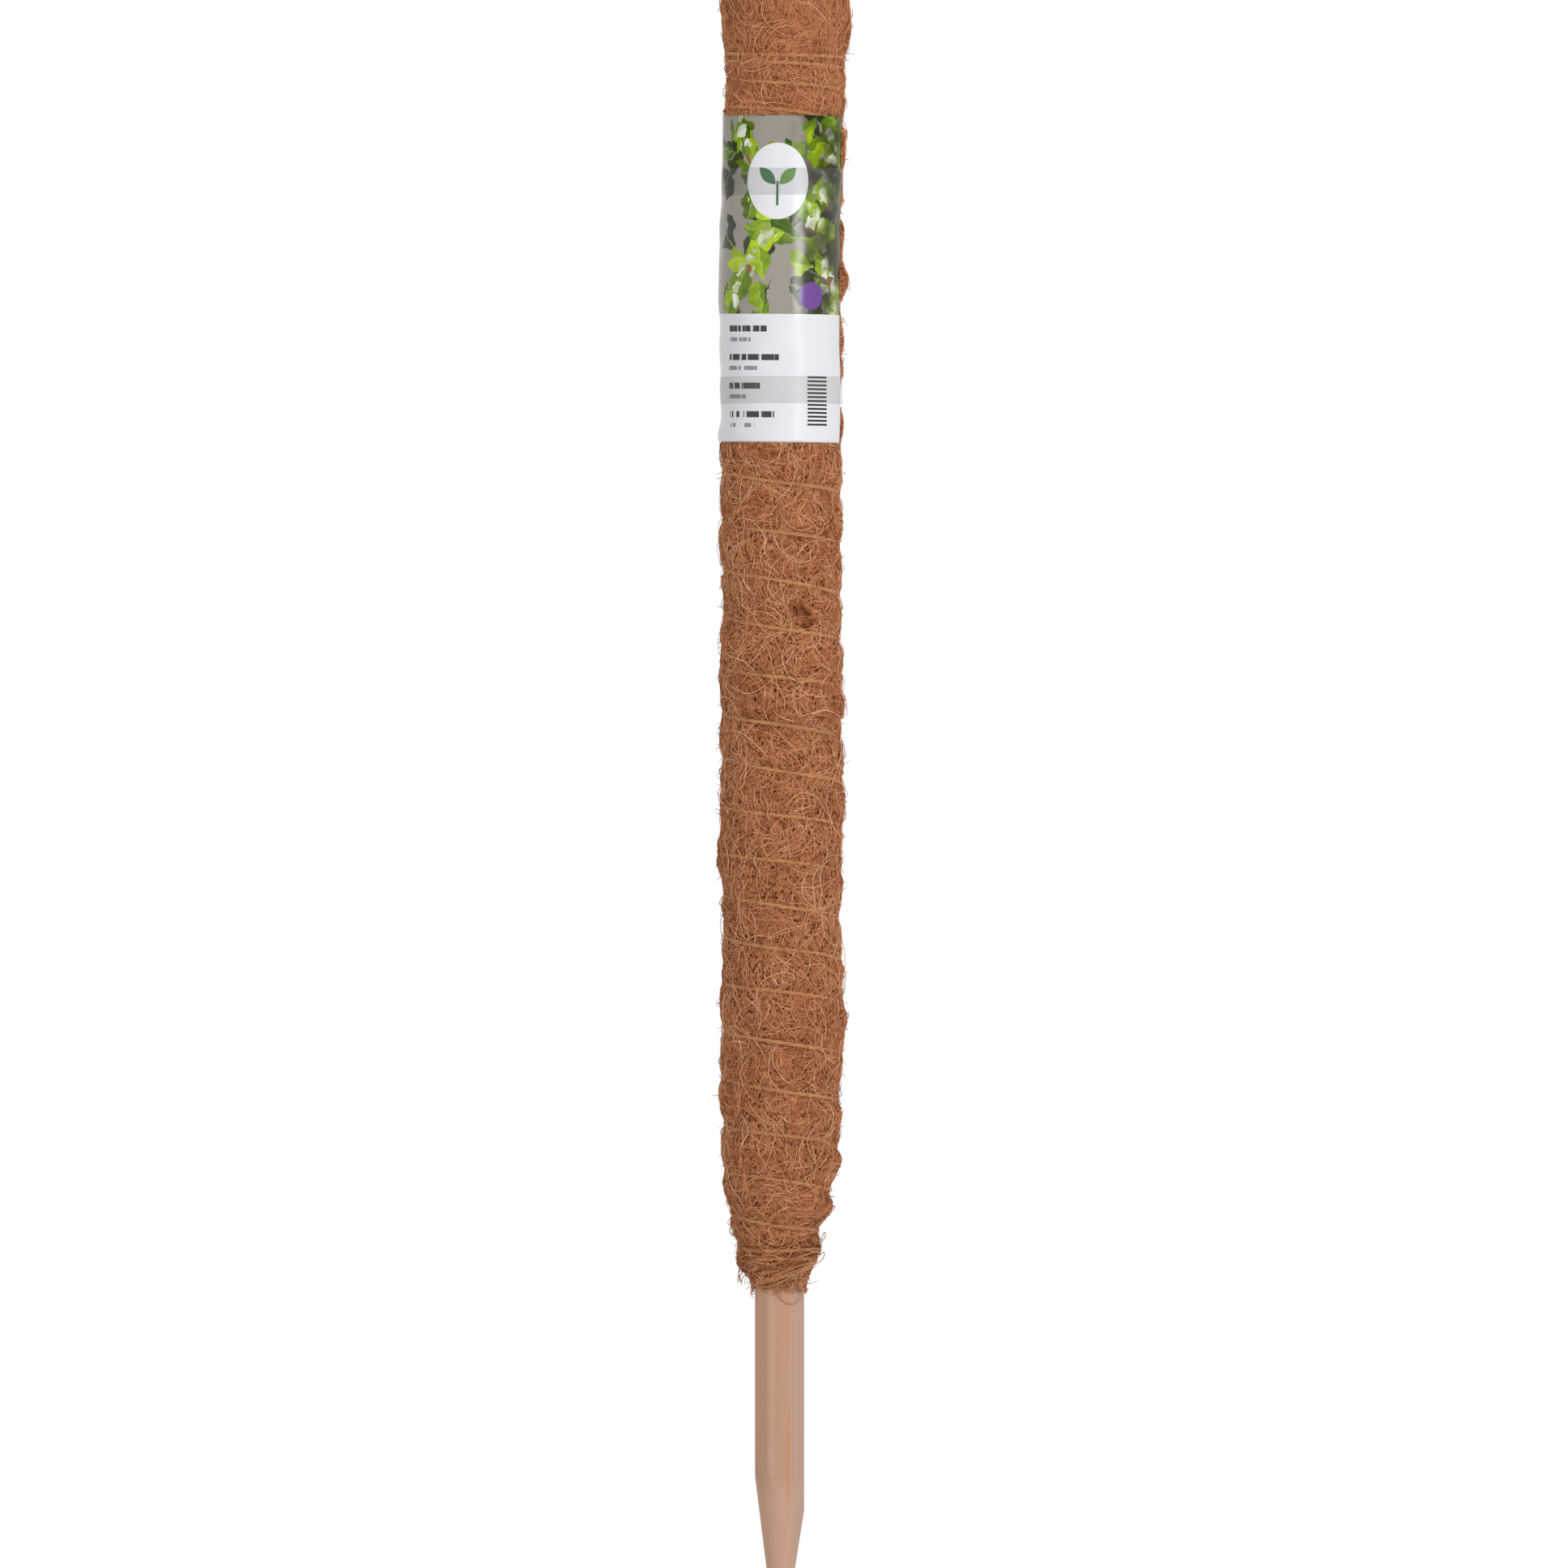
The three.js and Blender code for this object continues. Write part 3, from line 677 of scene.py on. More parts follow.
class TwineRecipe(Recipe):
    """Plies twisted round each other along a path that winds round the pole."""

    SIDES = 6
    ROWS = 48.0
    ROW_EDGE = 0.01
    SLUBS = 260.0
    PLY_SHIFT = 31.0

    def __init__(self) -> None:
        """Build the tree."""
        super().__init__("twisted_twine")
        plies = self.size("Plies", "NodeSocketInt")
        curve = self.use("GeometryNodeMeshToCurve", {"Mesh": self.source})
        inputs = {"Curve": curve, "Length": self.size("Step")}
        curve = self.use("GeometryNodeResampleCurve", inputs, mode="LENGTH")
        inputs = {"Geometry": curve, "Amount": plies}
        copies = self.add("GeometryNodeDuplicateElements", inputs, domain="SPLINE")
        parameter = self.add("GeometryNodeSplineParameter")
        ply = self.out(copies, "Duplicate Index") + 0.0
        curve = self.store(self.out(copies), "run", self.out(parameter, "Length"))
        curve = self.store(curve, "ply", ply, domain="CURVE")
        curve = self.store(curve, "along", self.out(parameter, "Factor"))
        inputs = {"Geometry": curve, "Offset": self.twist(plies)}
        curve = self.use("GeometryNodeSetPosition", inputs)
        self.close(self.tiled(self.tubes(curve, self.thickness(), self.SIDES), plies))

    def twist(self, plies: Wire) -> Wire:
        """Lead each ply round the twine's middle.

        Args:
            plies: Number of plies.

        Returns:
            Offsets from the middle.
        """
        phase = TURN * (self.named("run") / self.size("Lay") + self.named("ply") / plies)
        place = self.use("GeometryNodeInputPosition")
        flat = self.vector_math("MULTIPLY", place, (1.0, 1.0, 0.0))
        outward = self.vector_math("NORMALIZE", flat)
        tangent = self.use("GeometryNodeInputTangent")
        upward = self.vector_math("CROSS_PRODUCT", outward, tangent)
        offset = self.size("Ply Offset")
        out_part = self.scaled(outward, offset * self.math("COSINE", phase))
        up_part = self.scaled(upward, offset * self.math("SINE", phase))
        return self.vector_math("ADD", out_part, up_part)

    def thickness(self) -> Wire:
        """Give each ply slubs along it.

        Returns:
            Radius of a ply.
        """
        along, shift = self.named("run") * self.SLUBS, self.named("ply") * self.PLY_SHIFT
        place = self.point(along, shift, 0.0)
        noise = self.use("ShaderNodeTexNoise", {"Vector": place, "Scale": 1.0, "Detail": 2.0})
        return self.size("Ply Radius") * (1.0 + self.size("Slub") * (noise - 0.5))

    def tiled(self, mesh: Wire, plies: Wire) -> Wire:
        """Lay the plies out in rows of the map that colours are baked in.

        Args:
            mesh: The plies.
            plies: Number of plies.

        Returns:
            The plies with the map.
        """
        place = (self.named("along") + self.named("ply")) / plies * self.ROWS
        inputs = {"Value": place}
        middle = self.use("GeometryNodeFieldOnDomain", inputs, data_type="FLOAT", domain="FACE")
        row = self.math("FLOOR", middle)
        across = self.inset(place - row, self.ROW_EDGE)
        up = self.inset(self.math("PINGPONG", self.named("around"), 0.5) * 2.0)
        spot = self.point(across, (row + up) / self.ROWS, 0.0)
        return self.store(mesh, "OFBake", spot, "FLOAT2", "CORNER")


class Surface(Graph):
    """The nodes of a new material, with the patterns that the finishes share."""

    COMBED = (590.0 * MM, 625.0 * MM)
    COMBED_CALM = 0.55
    # Spots of painted shade that stand for shadowed gaps between fibres: their ease and their scale.
    SHADE_SPOTS = (0.54, 0.68)
    SHADE_SPOT_SCALE = 780.0

    def __init__(self, name: str, roughness: float = 0.5, gloss: float = 0.5) -> None:
        """Start a material.

        Args:
            name: Name of the material.
            roughness: How rough it is, where nothing else says so.
            gloss: How much it mirrors, where nothing else says so.
        """
        self.material = bpy.data.materials.new(name)
        self.material.use_nodes = True
        super().__init__(self.material.node_tree)
        self.shader = self.tree.nodes["Principled BSDF"]
        self.shader.inputs["Roughness"].default_value = roughness
        self.shader.inputs["Specular IOR Level"].default_value = gloss

    def feed(self, wires: dict[str, Wire]) -> Material:
        """Join wires to inputs of the shader.

        Args:
            wires: Wires by the name of the input.

        Returns:
            The material.
        """
        for key, wire in wires.items():
            self.tree.links.new(wire.socket, self.shader.inputs[key])
        return self.material

    def ramp(self, share: Wire, stops: Stops) -> Wire:
        """Go through several colours.

        Args:
            share: Place on the ramp, from 0 to 1.
            stops: Places and screen colours, from low to high.

        Returns:
            The colour.
        """
        node = self.add("ShaderNodeValToRGB", {0: share})
        elements = node.color_ramp.elements
        while len(elements) < len(stops):
            elements.new(0.5)
        for element, (place, screen) in zip(elements, stops):
            element.position = place
            element.color = linear(screen)
        return self.out(node)

    def mixed(self, share: Value, low: Tint, high: Tint) -> Wire:
        """Go from one colour to another by a share."""
        low, high = (end if isinstance(end, Wire) else linear(end) for end in (low, high))
        return self.use("ShaderNodeMix", {"Factor": share, "A": low, "B": high}, data_type="RGBA")

    def noise(self, place: Wire, scale: float, detail: float = 2.0) -> Wire:
        """Soft noise from 0 to 1 over a place."""
        inputs = {"Vector": place, "Scale": scale, "Detail": detail}
        return self.use("ShaderNodeTexNoise", inputs)

    def place(self, factors: Triple = (1.0, 1.0, 1.0)) -> Wire:
        """Object coordinates, each multiplied by a factor."""
        place = self.out(self.add("ShaderNodeTexCoord"), "Object")
        return self.use("ShaderNodeMapping", {"Vector": place, "Scale": factors})

    def attribute(self, name: str) -> Wire:
        """Read a number that the mesh carries."""
        return self.out(self.add("ShaderNodeAttribute", attribute_name=name), "Fac")

    def combed_mark(self, place: Wire) -> Wire:
        """Mark the coir's top, where its fibres lie closest."""
        _, _, height = self.parts(place)
        return self.ease(height, *self.COMBED)

    def shade_spot_mark(self, place: Wire) -> Wire:
        """Mark small spots of painted shade, standing for the shadowed gaps between fibres, spread
        through the coir and fewest in its combed top.
        """
        calm = 1.0 - self.COMBED_CALM * self.combed_mark(place)
        return self.ease(self.noise(place, self.SHADE_SPOT_SCALE, 1.0), *self.SHADE_SPOTS) * calm

    def bump(self, height: Wire, depth: float, strength: float = 1.0) -> Wire:
        """Tilt of the surface from a height pattern."""
        inputs = {"Height": height, "Distance": depth, "Strength": strength}
        return self.use("ShaderNodeBump", inputs)


@dataclass(frozen=True)
class FibreFinish:
    """Coir fibres: each with its own tone, mottled along its length, and darkened by painted shade
    where they cross the shadowed gaps.
    """

    name: str
    stops: Stops
    shade_spots: float = 0.0
    stains: Stains = ()
    mottle: float = 0.22
    mottle_scale: float = 900.0
    patch: float = 0.6
    patch_scale: float = 45.0
    grain_scale: float = 2600.0
    grain_depth: float = 0.1 * MM
    roughness: float = 0.6
    gloss: float = 0.12
    combed_tone: float = 0.6
    combed_share: float = 0.25

    def material(self) -> Material:
        """Make the material.

        Returns:
            The material.
        """
        surface = Surface(self.name, self.roughness, self.gloss)
        place = surface.place()
        mottle = (surface.noise(place, self.mottle_scale) - 0.5) * self.mottle
        patch = (surface.noise(place, self.patch_scale) - 0.5) * (self.mottle * self.patch)
        share = surface.attribute("tone") + mottle + patch
        if self.shade_spots:
            # Painted shade: the fibres darken over the spots that stand for shadowed gaps.
            share = share - surface.shade_spot_mark(place) * self.shade_spots
        for middle, reach, depth in self.stains:
            away = surface.vector_math("SUBTRACT", place, middle)
            away = surface.scaled(away, 1.0 / reach)
            square = surface.vector_math("DOT_PRODUCT", away, away)
            share = share - depth * surface.math("EXPONENT", square * -1.0)
        combed = self.combed_share * surface.combed_mark(place)
        share = surface.blend(combed, share, self.combed_tone)
        tilt = surface.bump(surface.noise(place, self.grain_scale), self.grain_depth, 0.6)
        return surface.feed({"Base Color": surface.ramp(share, self.stops), "Normal": tilt})


@dataclass(frozen=True)
class MatFinish:
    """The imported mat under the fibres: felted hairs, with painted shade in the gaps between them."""

    painted_gap_shade: Screen = (70, 29, 11)
    stops: Stops = ((0.34, (98, 46, 22)), (0.5, (167, 104, 68)), (0.68, (197, 133, 91)))
    warp_scale: float = 160.0
    strand_scale: float = 1300.0
    strand_depth: float = 1.2 * MM
    roughness: float = 0.85
    gloss: float = 0.06

    def material(self) -> Material:
        """Make the material.

        Returns:
            The material.
        """
        surface = Surface("packed_coir", self.roughness, self.gloss)
        place = surface.place()
        warp = surface.noise(place, self.warp_scale)
        x, y, z = surface.parts(place)
        bent = surface.point(x + warp * 0.012, y - warp * 0.012, z * 0.6 + warp * 0.01)
        strands = surface.noise(bent, self.strand_scale, 4.0)
        # Painted shade: the dark low end of the ramp and the gap spots stand for shade between the
        # felted hairs.
        colour = surface.ramp(strands, self.stops)
        colour = surface.mixed(surface.shade_spot_mark(place), colour, self.painted_gap_shade)
        tilt = surface.bump(strands, self.strand_depth)
        return surface.feed({"Base Color": colour, "Normal": tilt})


@dataclass(frozen=True)
class TwineFinish:
    """Jute twine: fine golden fibres that run along each ply."""

    stops: Stops = ((0.3, (158, 102, 60)), (0.52, (199, 138, 86)), (0.74, (224, 168, 112)))
    roughness: float = 0.7
    gloss: float = 0.18
    sheen: float = 0.15

    def material(self) -> Material:
        """Make the material.

        Returns:
            The material.
        """
        surface = Surface("jute_twine", self.roughness, self.gloss)
        surface.shader.inputs["Sheen Weight"].default_value = self.sheen
        turn = surface.attribute("around") * TURN
        run = surface.attribute("run")
        twist = turn + run * 900.0
        x, y = surface.math("COSINE", twist) * 3.0, surface.math("SINE", twist) * 3.0
        lay = surface.point(x, y, run * 350.0 + surface.attribute("ply") * 7.0)
        fibres = surface.noise(lay, 1.6, 3.0)
        share = fibres * 0.7 + surface.noise(surface.place(), 120.0) * 0.3
        tilt = surface.bump(fibres, 0.35 * MM, 0.8)
        return surface.feed({"Base Color": surface.ramp(share, self.stops), "Normal": tilt})


@dataclass(frozen=True)
class WoodFinish:
    """Planed pinkish softwood with straight grain, a resin streak and dark flecks, with painted cool
    light on its right side and painted light towards its point.
    """

    early: Screen = (197, 157, 133)
    late: Screen = (173, 128, 101)
    painted_cool_light: Screen = (182, 155, 142)
    streak: Screen = (198, 132, 84)
    fleck: Screen = (92, 62, 46)
    roughness: Pair = (0.5, 0.75)
    gloss: float = 0.18
    ring_width: float = 3.1 * MM
    pith: Pair = (21 * MM, 34 * MM)
    painted_cool_light_edge: Pair = (4.4 * MM, 6.2 * MM)
    lit_point_edge: Pair = (56 * MM, 66 * MM)
    streak_place: float = 3.7 * MM
    streak_width: float = 0.8 * MM
    streak_front: Pair = (-8.5 * MM, -9.6 * MM)

    def material(self) -> Material:
        """Make the material.

        Returns:
            The material.
        """
        surface = Surface("planed_softwood", gloss=self.gloss)
        slow = surface.place((1.0, 1.0, 0.06))
        fine = surface.place((1.0, 1.0, 0.018))
        x, y, z = surface.parts(surface.place())
        square = (x - self.pith[0]) ** 2.0 + (y - self.pith[1]) ** 2.0
        drift = (surface.noise(slow, 90.0) - 0.5) * (1.6 * MM)
        ring = surface.math("FRACT", (surface.math("SQRT", square) + drift) / self.ring_width)
        late = surface.ease(ring, 0.35, 0.95) * (1.0 - surface.ease(ring, 0.95, 1.0))
        pores = surface.noise(fine, 2600.0, 3.0)
        cloud = surface.noise(slow, 160.0, 3.0)
        share = late * 0.14 + (pores - 0.5) * 0.3 + (cloud - 0.5) * 0.35 + 0.3
        # Painted light: the wood is made lighter towards the sharpened point, for the light that the
        # white floor throws up onto it.
        share = share - 0.4 * (1.0 - surface.ease(z, *self.lit_point_edge))
        colour = surface.mixed(surface.math("MAXIMUM", share, 0.0), self.early, self.late)
        # Painted light: a cool, greyer tint on the stake's right side stands for the cool light that
        # falls on it from the right.
        colour = surface.mixed(surface.ease(x, *self.painted_cool_light_edge) * 0.6, colour, self.painted_cool_light)
        offset = (x - self.streak_place) / self.streak_width
        front = surface.ease(y, *self.streak_front)
        streak = surface.math("EXPONENT", offset * offset * -1.0) * front
        streak = streak * surface.ease(surface.noise(slow, 420.0, 1.0), 0.35, 0.6)
        colour = surface.mixed(streak * 0.55, colour, self.streak)
        inputs = {"Vector": surface.place((1.0, 1.0, 0.45)), "Scale": 130.0}
        cells = surface.add("ShaderNodeTexVoronoi", inputs)
        chance, _, _ = surface.parts(surface.out(cells, "Color"))
        fleck = 1.0 - surface.ease(surface.out(cells, "Distance"), 0.03, 0.07)
        fleck = fleck * surface.ease(chance, 0.8, 0.82)
        colour = surface.mixed(fleck * 0.75, colour, self.fleck)
        rough = surface.blend(pores, *self.roughness)
        tilt = surface.bump(pores - late * 0.4, 0.12 * MM, 0.5)
        return surface.feed({"Roughness": rough, "Base Color": colour, "Normal": tilt})


class LabelSheet(Surface):
    """The label's surface, with places on it in the label's own millimetres."""

    EDGE = 0.12

    def __init__(self, width: float, height: float) -> None:
        """Start the material.

        Args:
            width: Width of the label.
            height: Its height.
        """
        super().__init__("printed_label")
        u, v, _ = self.parts(self.use("ShaderNodeUVMap", uv_map="Label"))
        self.across = u * (width / MM)
        self.up = v * (height / MM)

    def oval(self, middle: Pair, half: Pair) -> Wire:
        """Mark an oval with 1.

        Args:
            middle: Middle of the oval.
            half: Half of its width and height.

        Returns:
            The mark, soft at the edge.
        """
        x = (self.across - middle[0]) / half[0]
        y = (self.up - middle[1]) / half[1]
        edge = self.EDGE / min(half)
        return 1.0 - self.ease(x * x + y * y, 1.0 - edge, 1.0 + edge)

    def bar(self, middle: Pair, half: Pair) -> Wire:
        """Mark a bar with 1.

        Args:
            middle: Middle of the bar.
            half: Half of its width and height.

        Returns:
            The mark, soft at the edge.
        """
        marks = []
        for place, at, reach in zip((self.across, self.up), middle, half):
            away = self.math("ABSOLUTE", place - at)
            marks.append(1.0 - self.ease(away, reach - self.EDGE, reach + self.EDGE))
        return marks[0] * marks[1]


@dataclass(frozen=True)
class LeafLayer:
    """One layer of printed leaves: room for a leaf, own shift, reach from a stem and tones."""

    cell: float
    shift: float
    spread: float
    dark: Screen
    light: Screen
    rib: Screen = (206, 218, 140)

    def printed(self, sheet: LabelSheet, across: Wire, up: Wire, near: Wire, ground: Wire) -> Wire:
        """Print the leaves.

        Args:
            sheet: Surface of the label.
            across: Place across the picture.
            up: Place up the picture.
            near: Distance from the nearest stem.
            ground: Colour under the leaves.

        Returns:
            The colour with the leaves on it.
        """
        place = sheet.point(across + self.shift, up + self.shift, 0.0)
        inputs = {"Vector": place, "Scale": 1.0 / self.cell, "Randomness": 0.8}
        cells = sheet.add("ShaderNodeTexVoronoi", inputs, voronoi_dimensions="2D")
        first, second, third = sheet.parts(sheet.out(cells, "Color"))
        from_middle = sheet.vector_math("SUBTRACT", place, sheet.out(cells, "Position"))
        x, y, _ = sheet.parts(from_middle)
        angle = first * TURN
        cosine, sine = sheet.math("COSINE", angle), sheet.math("SINE", angle)
        along = (x * cosine + y * sine) / (self.cell * 0.52)
        aside = (y * cosine - x * sine) / (self.cell * 0.52)
        outline = (1.0 - along * along) * (1.0 + 0.5 * along) * 0.7
        leaf = sheet.ease(outline - sheet.math("ABSOLUTE", aside), 0.0, 0.05)
        grows = sheet.ease(self.spread * (0.45 + second) - near, -0.2, 0.2)
        half = sheet.ease(aside, -0.03, 0.03) * 0.35
        rib = 1.0 - sheet.ease(sheet.math("ABSOLUTE", aside), 0.02, 0.06)
        share = third * 0.6 + half + (sheet.noise(place, 0.3) - 0.5) * 1.2
        share = sheet.math("MINIMUM", sheet.math("MAXIMUM", share, 0.0), 1.0)
        tone = sheet.mixed(share, self.dark, self.light)
        return sheet.mixed(leaf * grows, ground, sheet.mixed(rib * 0.25, tone, self.rib))


@dataclass(frozen=True)
class LabelPrint:
    """Coated paper with a leafy picture over a white panel, in the label's own millimetres.

    A patch is the middle of a printed mark, and half of its width and height.
    """

    width: float
    height: float
    panel_top: float = 52.0
    gloss_top: float = 101.0
    gloss: Pair = (0.07, 0.33)
    roughness: Pair = (0.18, 0.26)
    paper: Screen = (221, 222, 225)
    ground: Screen = (152, 145, 136)
    shade: Screen = (84, 78, 40)
    hollow: Screen = (38, 37, 14)
    stem: Screen = (134, 92, 44)
    stripe: Screen = (48, 48, 52)
    badge: Screen = (104, 66, 140)
    sprout: Screen = (62, 104, 66)
    sprout_leaves: tuple[tuple[float, Screen], ...] = ((-1.0, (62, 112, 70)), (1.0, (104, 150, 72)))
    badge_patch: Patch = ((61.0, 59.5), (5.6, 5.6))
    plate_patch: Patch = ((46.0, 106.0), (13.0, 15.5))
    stalk_patch: Patch = ((46.0, 101.0), (0.5, 5.0))
    leaf_place: Pair = (4.2, 108.0)
    leaf_size: float = 5.0
    diagonal: float = 0.7071
    block_patch: Patch = ((64.0, 17.0), (5.0, 10.5))
    stripe_width: float = 0.8
    shade_edge: Pair = (48.0, 66.0)
    stems: tuple[tuple[Pair, Pair], ...] = (((36.0, 7.0), (0.085, 0.0)), ((67.0, 4.0), (0.11, 1.3)))
    line_start: Pair = (23.0, 46.0)
    line_drop: float = 11.6
    line_lengths: tuple[float, ...] = (19.0, 24.0, 16.0, 22.0)
    lines: tuple[tuple[float, float, float, Screen], ...] = (
        (0.0, 1.0, 1.25, (70, 71, 74)),
        (4.4, 0.62, 0.85, (140, 142, 146)),
    )
    layers: tuple[LeafLayer, ...] = (
        LeafLayer(19.0, 3.7, 18.0, (26, 34, 16), (56, 70, 26)),
        LeafLayer(16.0, 21.3, 13.0, (52, 80, 12), (126, 156, 30)),
        LeafLayer(14.0, 47.9, 10.0, (84, 120, 6), (180, 206, 28)),
        LeafLayer(6.5, 71.1, 3.2, (140, 160, 70), (232, 234, 226)),
    )

    def material(self) -> Material:
        """Make the material.

        Returns:
            The material.
        """
        sheet = LabelSheet(self.width, self.height)
        colour = self.plate(sheet, self.picture(sheet))
        panel = 1.0 - sheet.ease(sheet.up, self.panel_top - 0.1, self.panel_top + 0.1)
        colour = sheet.mixed(panel, colour, self.panel(sheet))
        colour = sheet.mixed(sheet.oval(*self.badge_patch), colour, self.badge)
        grain = sheet.noise(sheet.place(), 1500.0)
        rough = sheet.blend(grain, *self.roughness)
        gloss = sheet.ease(sheet.up, self.panel_top - 2.0, self.panel_top + 2.0)
        gloss = gloss * (1.0 - sheet.ease(sheet.up, self.gloss_top - 3.0, self.gloss_top + 3.0))
        gloss = sheet.blend(gloss, *self.gloss)
        waves = sheet.noise(sheet.place((1.0, 1.0, 0.7)), 75.0)
        tilt = sheet.bump(waves + grain * 0.04, 0.5 * MM, 0.18)
        sheet.feed({"Roughness": rough, "Specular IOR Level": gloss})
        return sheet.feed({"Base Color": colour, "Normal": tilt})

    def picture(self, sheet: LabelSheet) -> Wire:
        """Print leaves on two stems over a soft grey ground.

        Args:
            sheet: Surface of the label.

        Returns:
            The colour.
        """
        place = sheet.point(sheet.across, sheet.up, 0.0)
        haze = sheet.noise(place, 0.05, 1.0)
        side = sheet.ease(sheet.across, *self.shade_edge)
        dim = sheet.math("MAXIMUM", side * 0.75 + (haze - 0.5) * 0.8, 0.0)
        colour = sheet.mixed(dim, self.ground, self.shade)
        deep = sheet.ease(sheet.noise(place, 0.09, 1.0), 0.5, 0.56) * side
        colour = sheet.mixed(deep * 0.85, colour, self.hollow)
        shift = (sheet.noise(place, 0.22) - 0.5) * 5.0
        rise = (sheet.noise(sheet.point(sheet.up, sheet.across, 9.0), 0.22) - 0.5) * 5.0
        across, up = sheet.across + shift, sheet.up + rise
        left, right = (
            sheet.math("ABSOLUTE", across - at - swing * sheet.math("SINE", up * rate + start))
            for (at, swing), (rate, start) in self.stems
        )
        near = sheet.math("MINIMUM", left, right * 0.8)
        colour = sheet.mixed(1.0 - sheet.ease(near, 0.9, 1.3), colour, self.stem)
        for layer in self.layers:
            colour = layer.printed(sheet, across, up, near, colour)
        shadow = sheet.ease(sheet.noise(place, 0.07), 0.36, 0.58) * side
        return sheet.mixed(shadow * 0.85, colour, self.hollow)

    def plate(self, sheet: LabelSheet, ground: Wire) -> Wire:
        """Print a plain white oval with a green sprout.

        Args:
            sheet: Surface of the label.
            ground: Colour under the oval.

        Returns:
            The colour.
        """
        colour = sheet.mixed(sheet.oval(*self.plate_patch), ground, self.paper)
        colour = sheet.mixed(sheet.bar(*self.stalk_patch), colour, self.sprout)
        from_stalk = sheet.across - self.stalk_patch[0][0]
        for side, tone in self.sprout_leaves:
            x = (from_stalk - side * self.leaf_place[0]) / self.leaf_size
            y = (sheet.up - self.leaf_place[1]) / self.leaf_size
            along = (x * side + y) * self.diagonal
            aside = (y - x * side) * self.diagonal
            outline = (1.0 - along * along) * 0.5
            leaf = sheet.ease(outline - sheet.math("ABSOLUTE", aside), 0.0, 0.06)
            colour = sheet.mixed(leaf, colour, tone)
        return colour

    def panel(self, sheet: LabelSheet) -> Wire:
        """Print broken grey filler lines and a block of even stripes on white paper.

        Args:
            sheet: Surface of the label.

        Returns:
            The colour.
        """
        colour: Tint = self.paper
        for row, length in enumerate(self.line_lengths):
            level = self.line_start[1] - self.line_drop * row
            for drop, share, half, tone in self.lines:
                reach = length * share / 2
                middle = (self.line_start[0] + reach, level - drop)
                line = sheet.bar(middle, (reach, half))
                place = sheet.point(sheet.across, row * 9.0 + drop, 0.0)
                words = sheet.ease(sheet.noise(place, 0.55, 1.0), 0.4, 0.47)
                colour = sheet.mixed(line * words, colour, tone)
        block = sheet.bar(*self.block_patch)
        stripes = sheet.ease(sheet.math("PINGPONG", sheet.up, self.stripe_width), 0.34, 0.46)
        return sheet.mixed(block * stripes, colour, self.stripe)


@dataclass(frozen=True)
class FilmFinish:
    """Clear glossy tape."""

    tint: Screen = (132, 131, 130)
    crease: Screen = (148, 148, 148)
    cover: float = 0.085
    roughness: float = 0.35
    gloss: float = 0.15

    def material(self) -> Material:
        """Make the material.

        Returns:
            The material.
        """
        surface = Surface("clear_film", self.roughness, self.gloss)
        surface.shader.inputs["Alpha"].default_value = self.cover
        creases = surface.noise(surface.place(), 90.0, 3.0)
        colour = surface.mixed(creases, self.tint, self.crease)
        tilt = surface.bump(creases, 0.6 * MM, 0.06)
        return surface.feed({"Base Color": colour, "Normal": tilt})


@dataclass(frozen=True)
class PoleSizes:
    """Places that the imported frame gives."""

    TAPE_NODES: ClassVar[tuple[str, ...]] = ("upper_tape_band", "lower_tape_band")
    stake_half: float
    stake_top: float
    coir_foot: float
    coir_top: float
    crown_radius: float
    label_foot: float
    label_top: float
    label_radius: float
    tapes: tuple[Pair, ...]

    @classmethod
    def from_frame(cls) -> "PoleSizes":
        """Read the places from the boxes of the CAD nodes.

        Returns:
            The places.
        """
        stake_low, stake_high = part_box("wooden_stake")
        coir_low, coir_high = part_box("outer_coir_mat")
        label_low, label_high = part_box("paper_label")
        return cls(
            stake_half=-stake_low[1],
            stake_top=stake_high[2],
            coir_foot=coir_low[2],
            coir_top=coir_high[2],
            crown_radius=coir_high[0],
            label_foot=label_low[2],
            label_top=label_high[2],
            label_radius=-label_low[1],
            tapes=tuple((low[2], high[2]) for low, high in map(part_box, cls.TAPE_NODES)),
        )

    def taped(self, height: Array, margin: float) -> Array:
        """Mark heights that lie under a band of tape, or within a margin of one."""
        return sum((height > low - margin) & (height < high + margin) for low, high in self.tapes)


@dataclass(frozen=True)
class Ripples:
    """Seeded waves over the pole that make its surface uneven."""

    seed: int
    lobes: tuple[int, int]
    lengths: Pair
    waves: int = 18

    def at(self, angle: Array, height: Array) -> Array:
        """Height of the waves, about 1 at the crests.

        Args:
            angle: Angles round the pole.
            height: Heights above the tip.

        Returns:
            The waves' heights.
        """
        draws = np.random.default_rng(self.seed)
        total = np.zeros(np.broadcast_shapes(np.shape(angle), np.shape(height)))
        for _ in range(self.waves):
            lobes = draws.integers(self.lobes[0], self.lobes[1] + 1)
            length = draws.uniform(*self.lengths) * draws.choice([-1.0, 1.0])
            phase = draws.uniform(0.0, TURN)
            total = total + np.cos(lobes * angle + TURN * height / length + phase)
        return total * math.sqrt(2.0 / self.waves)


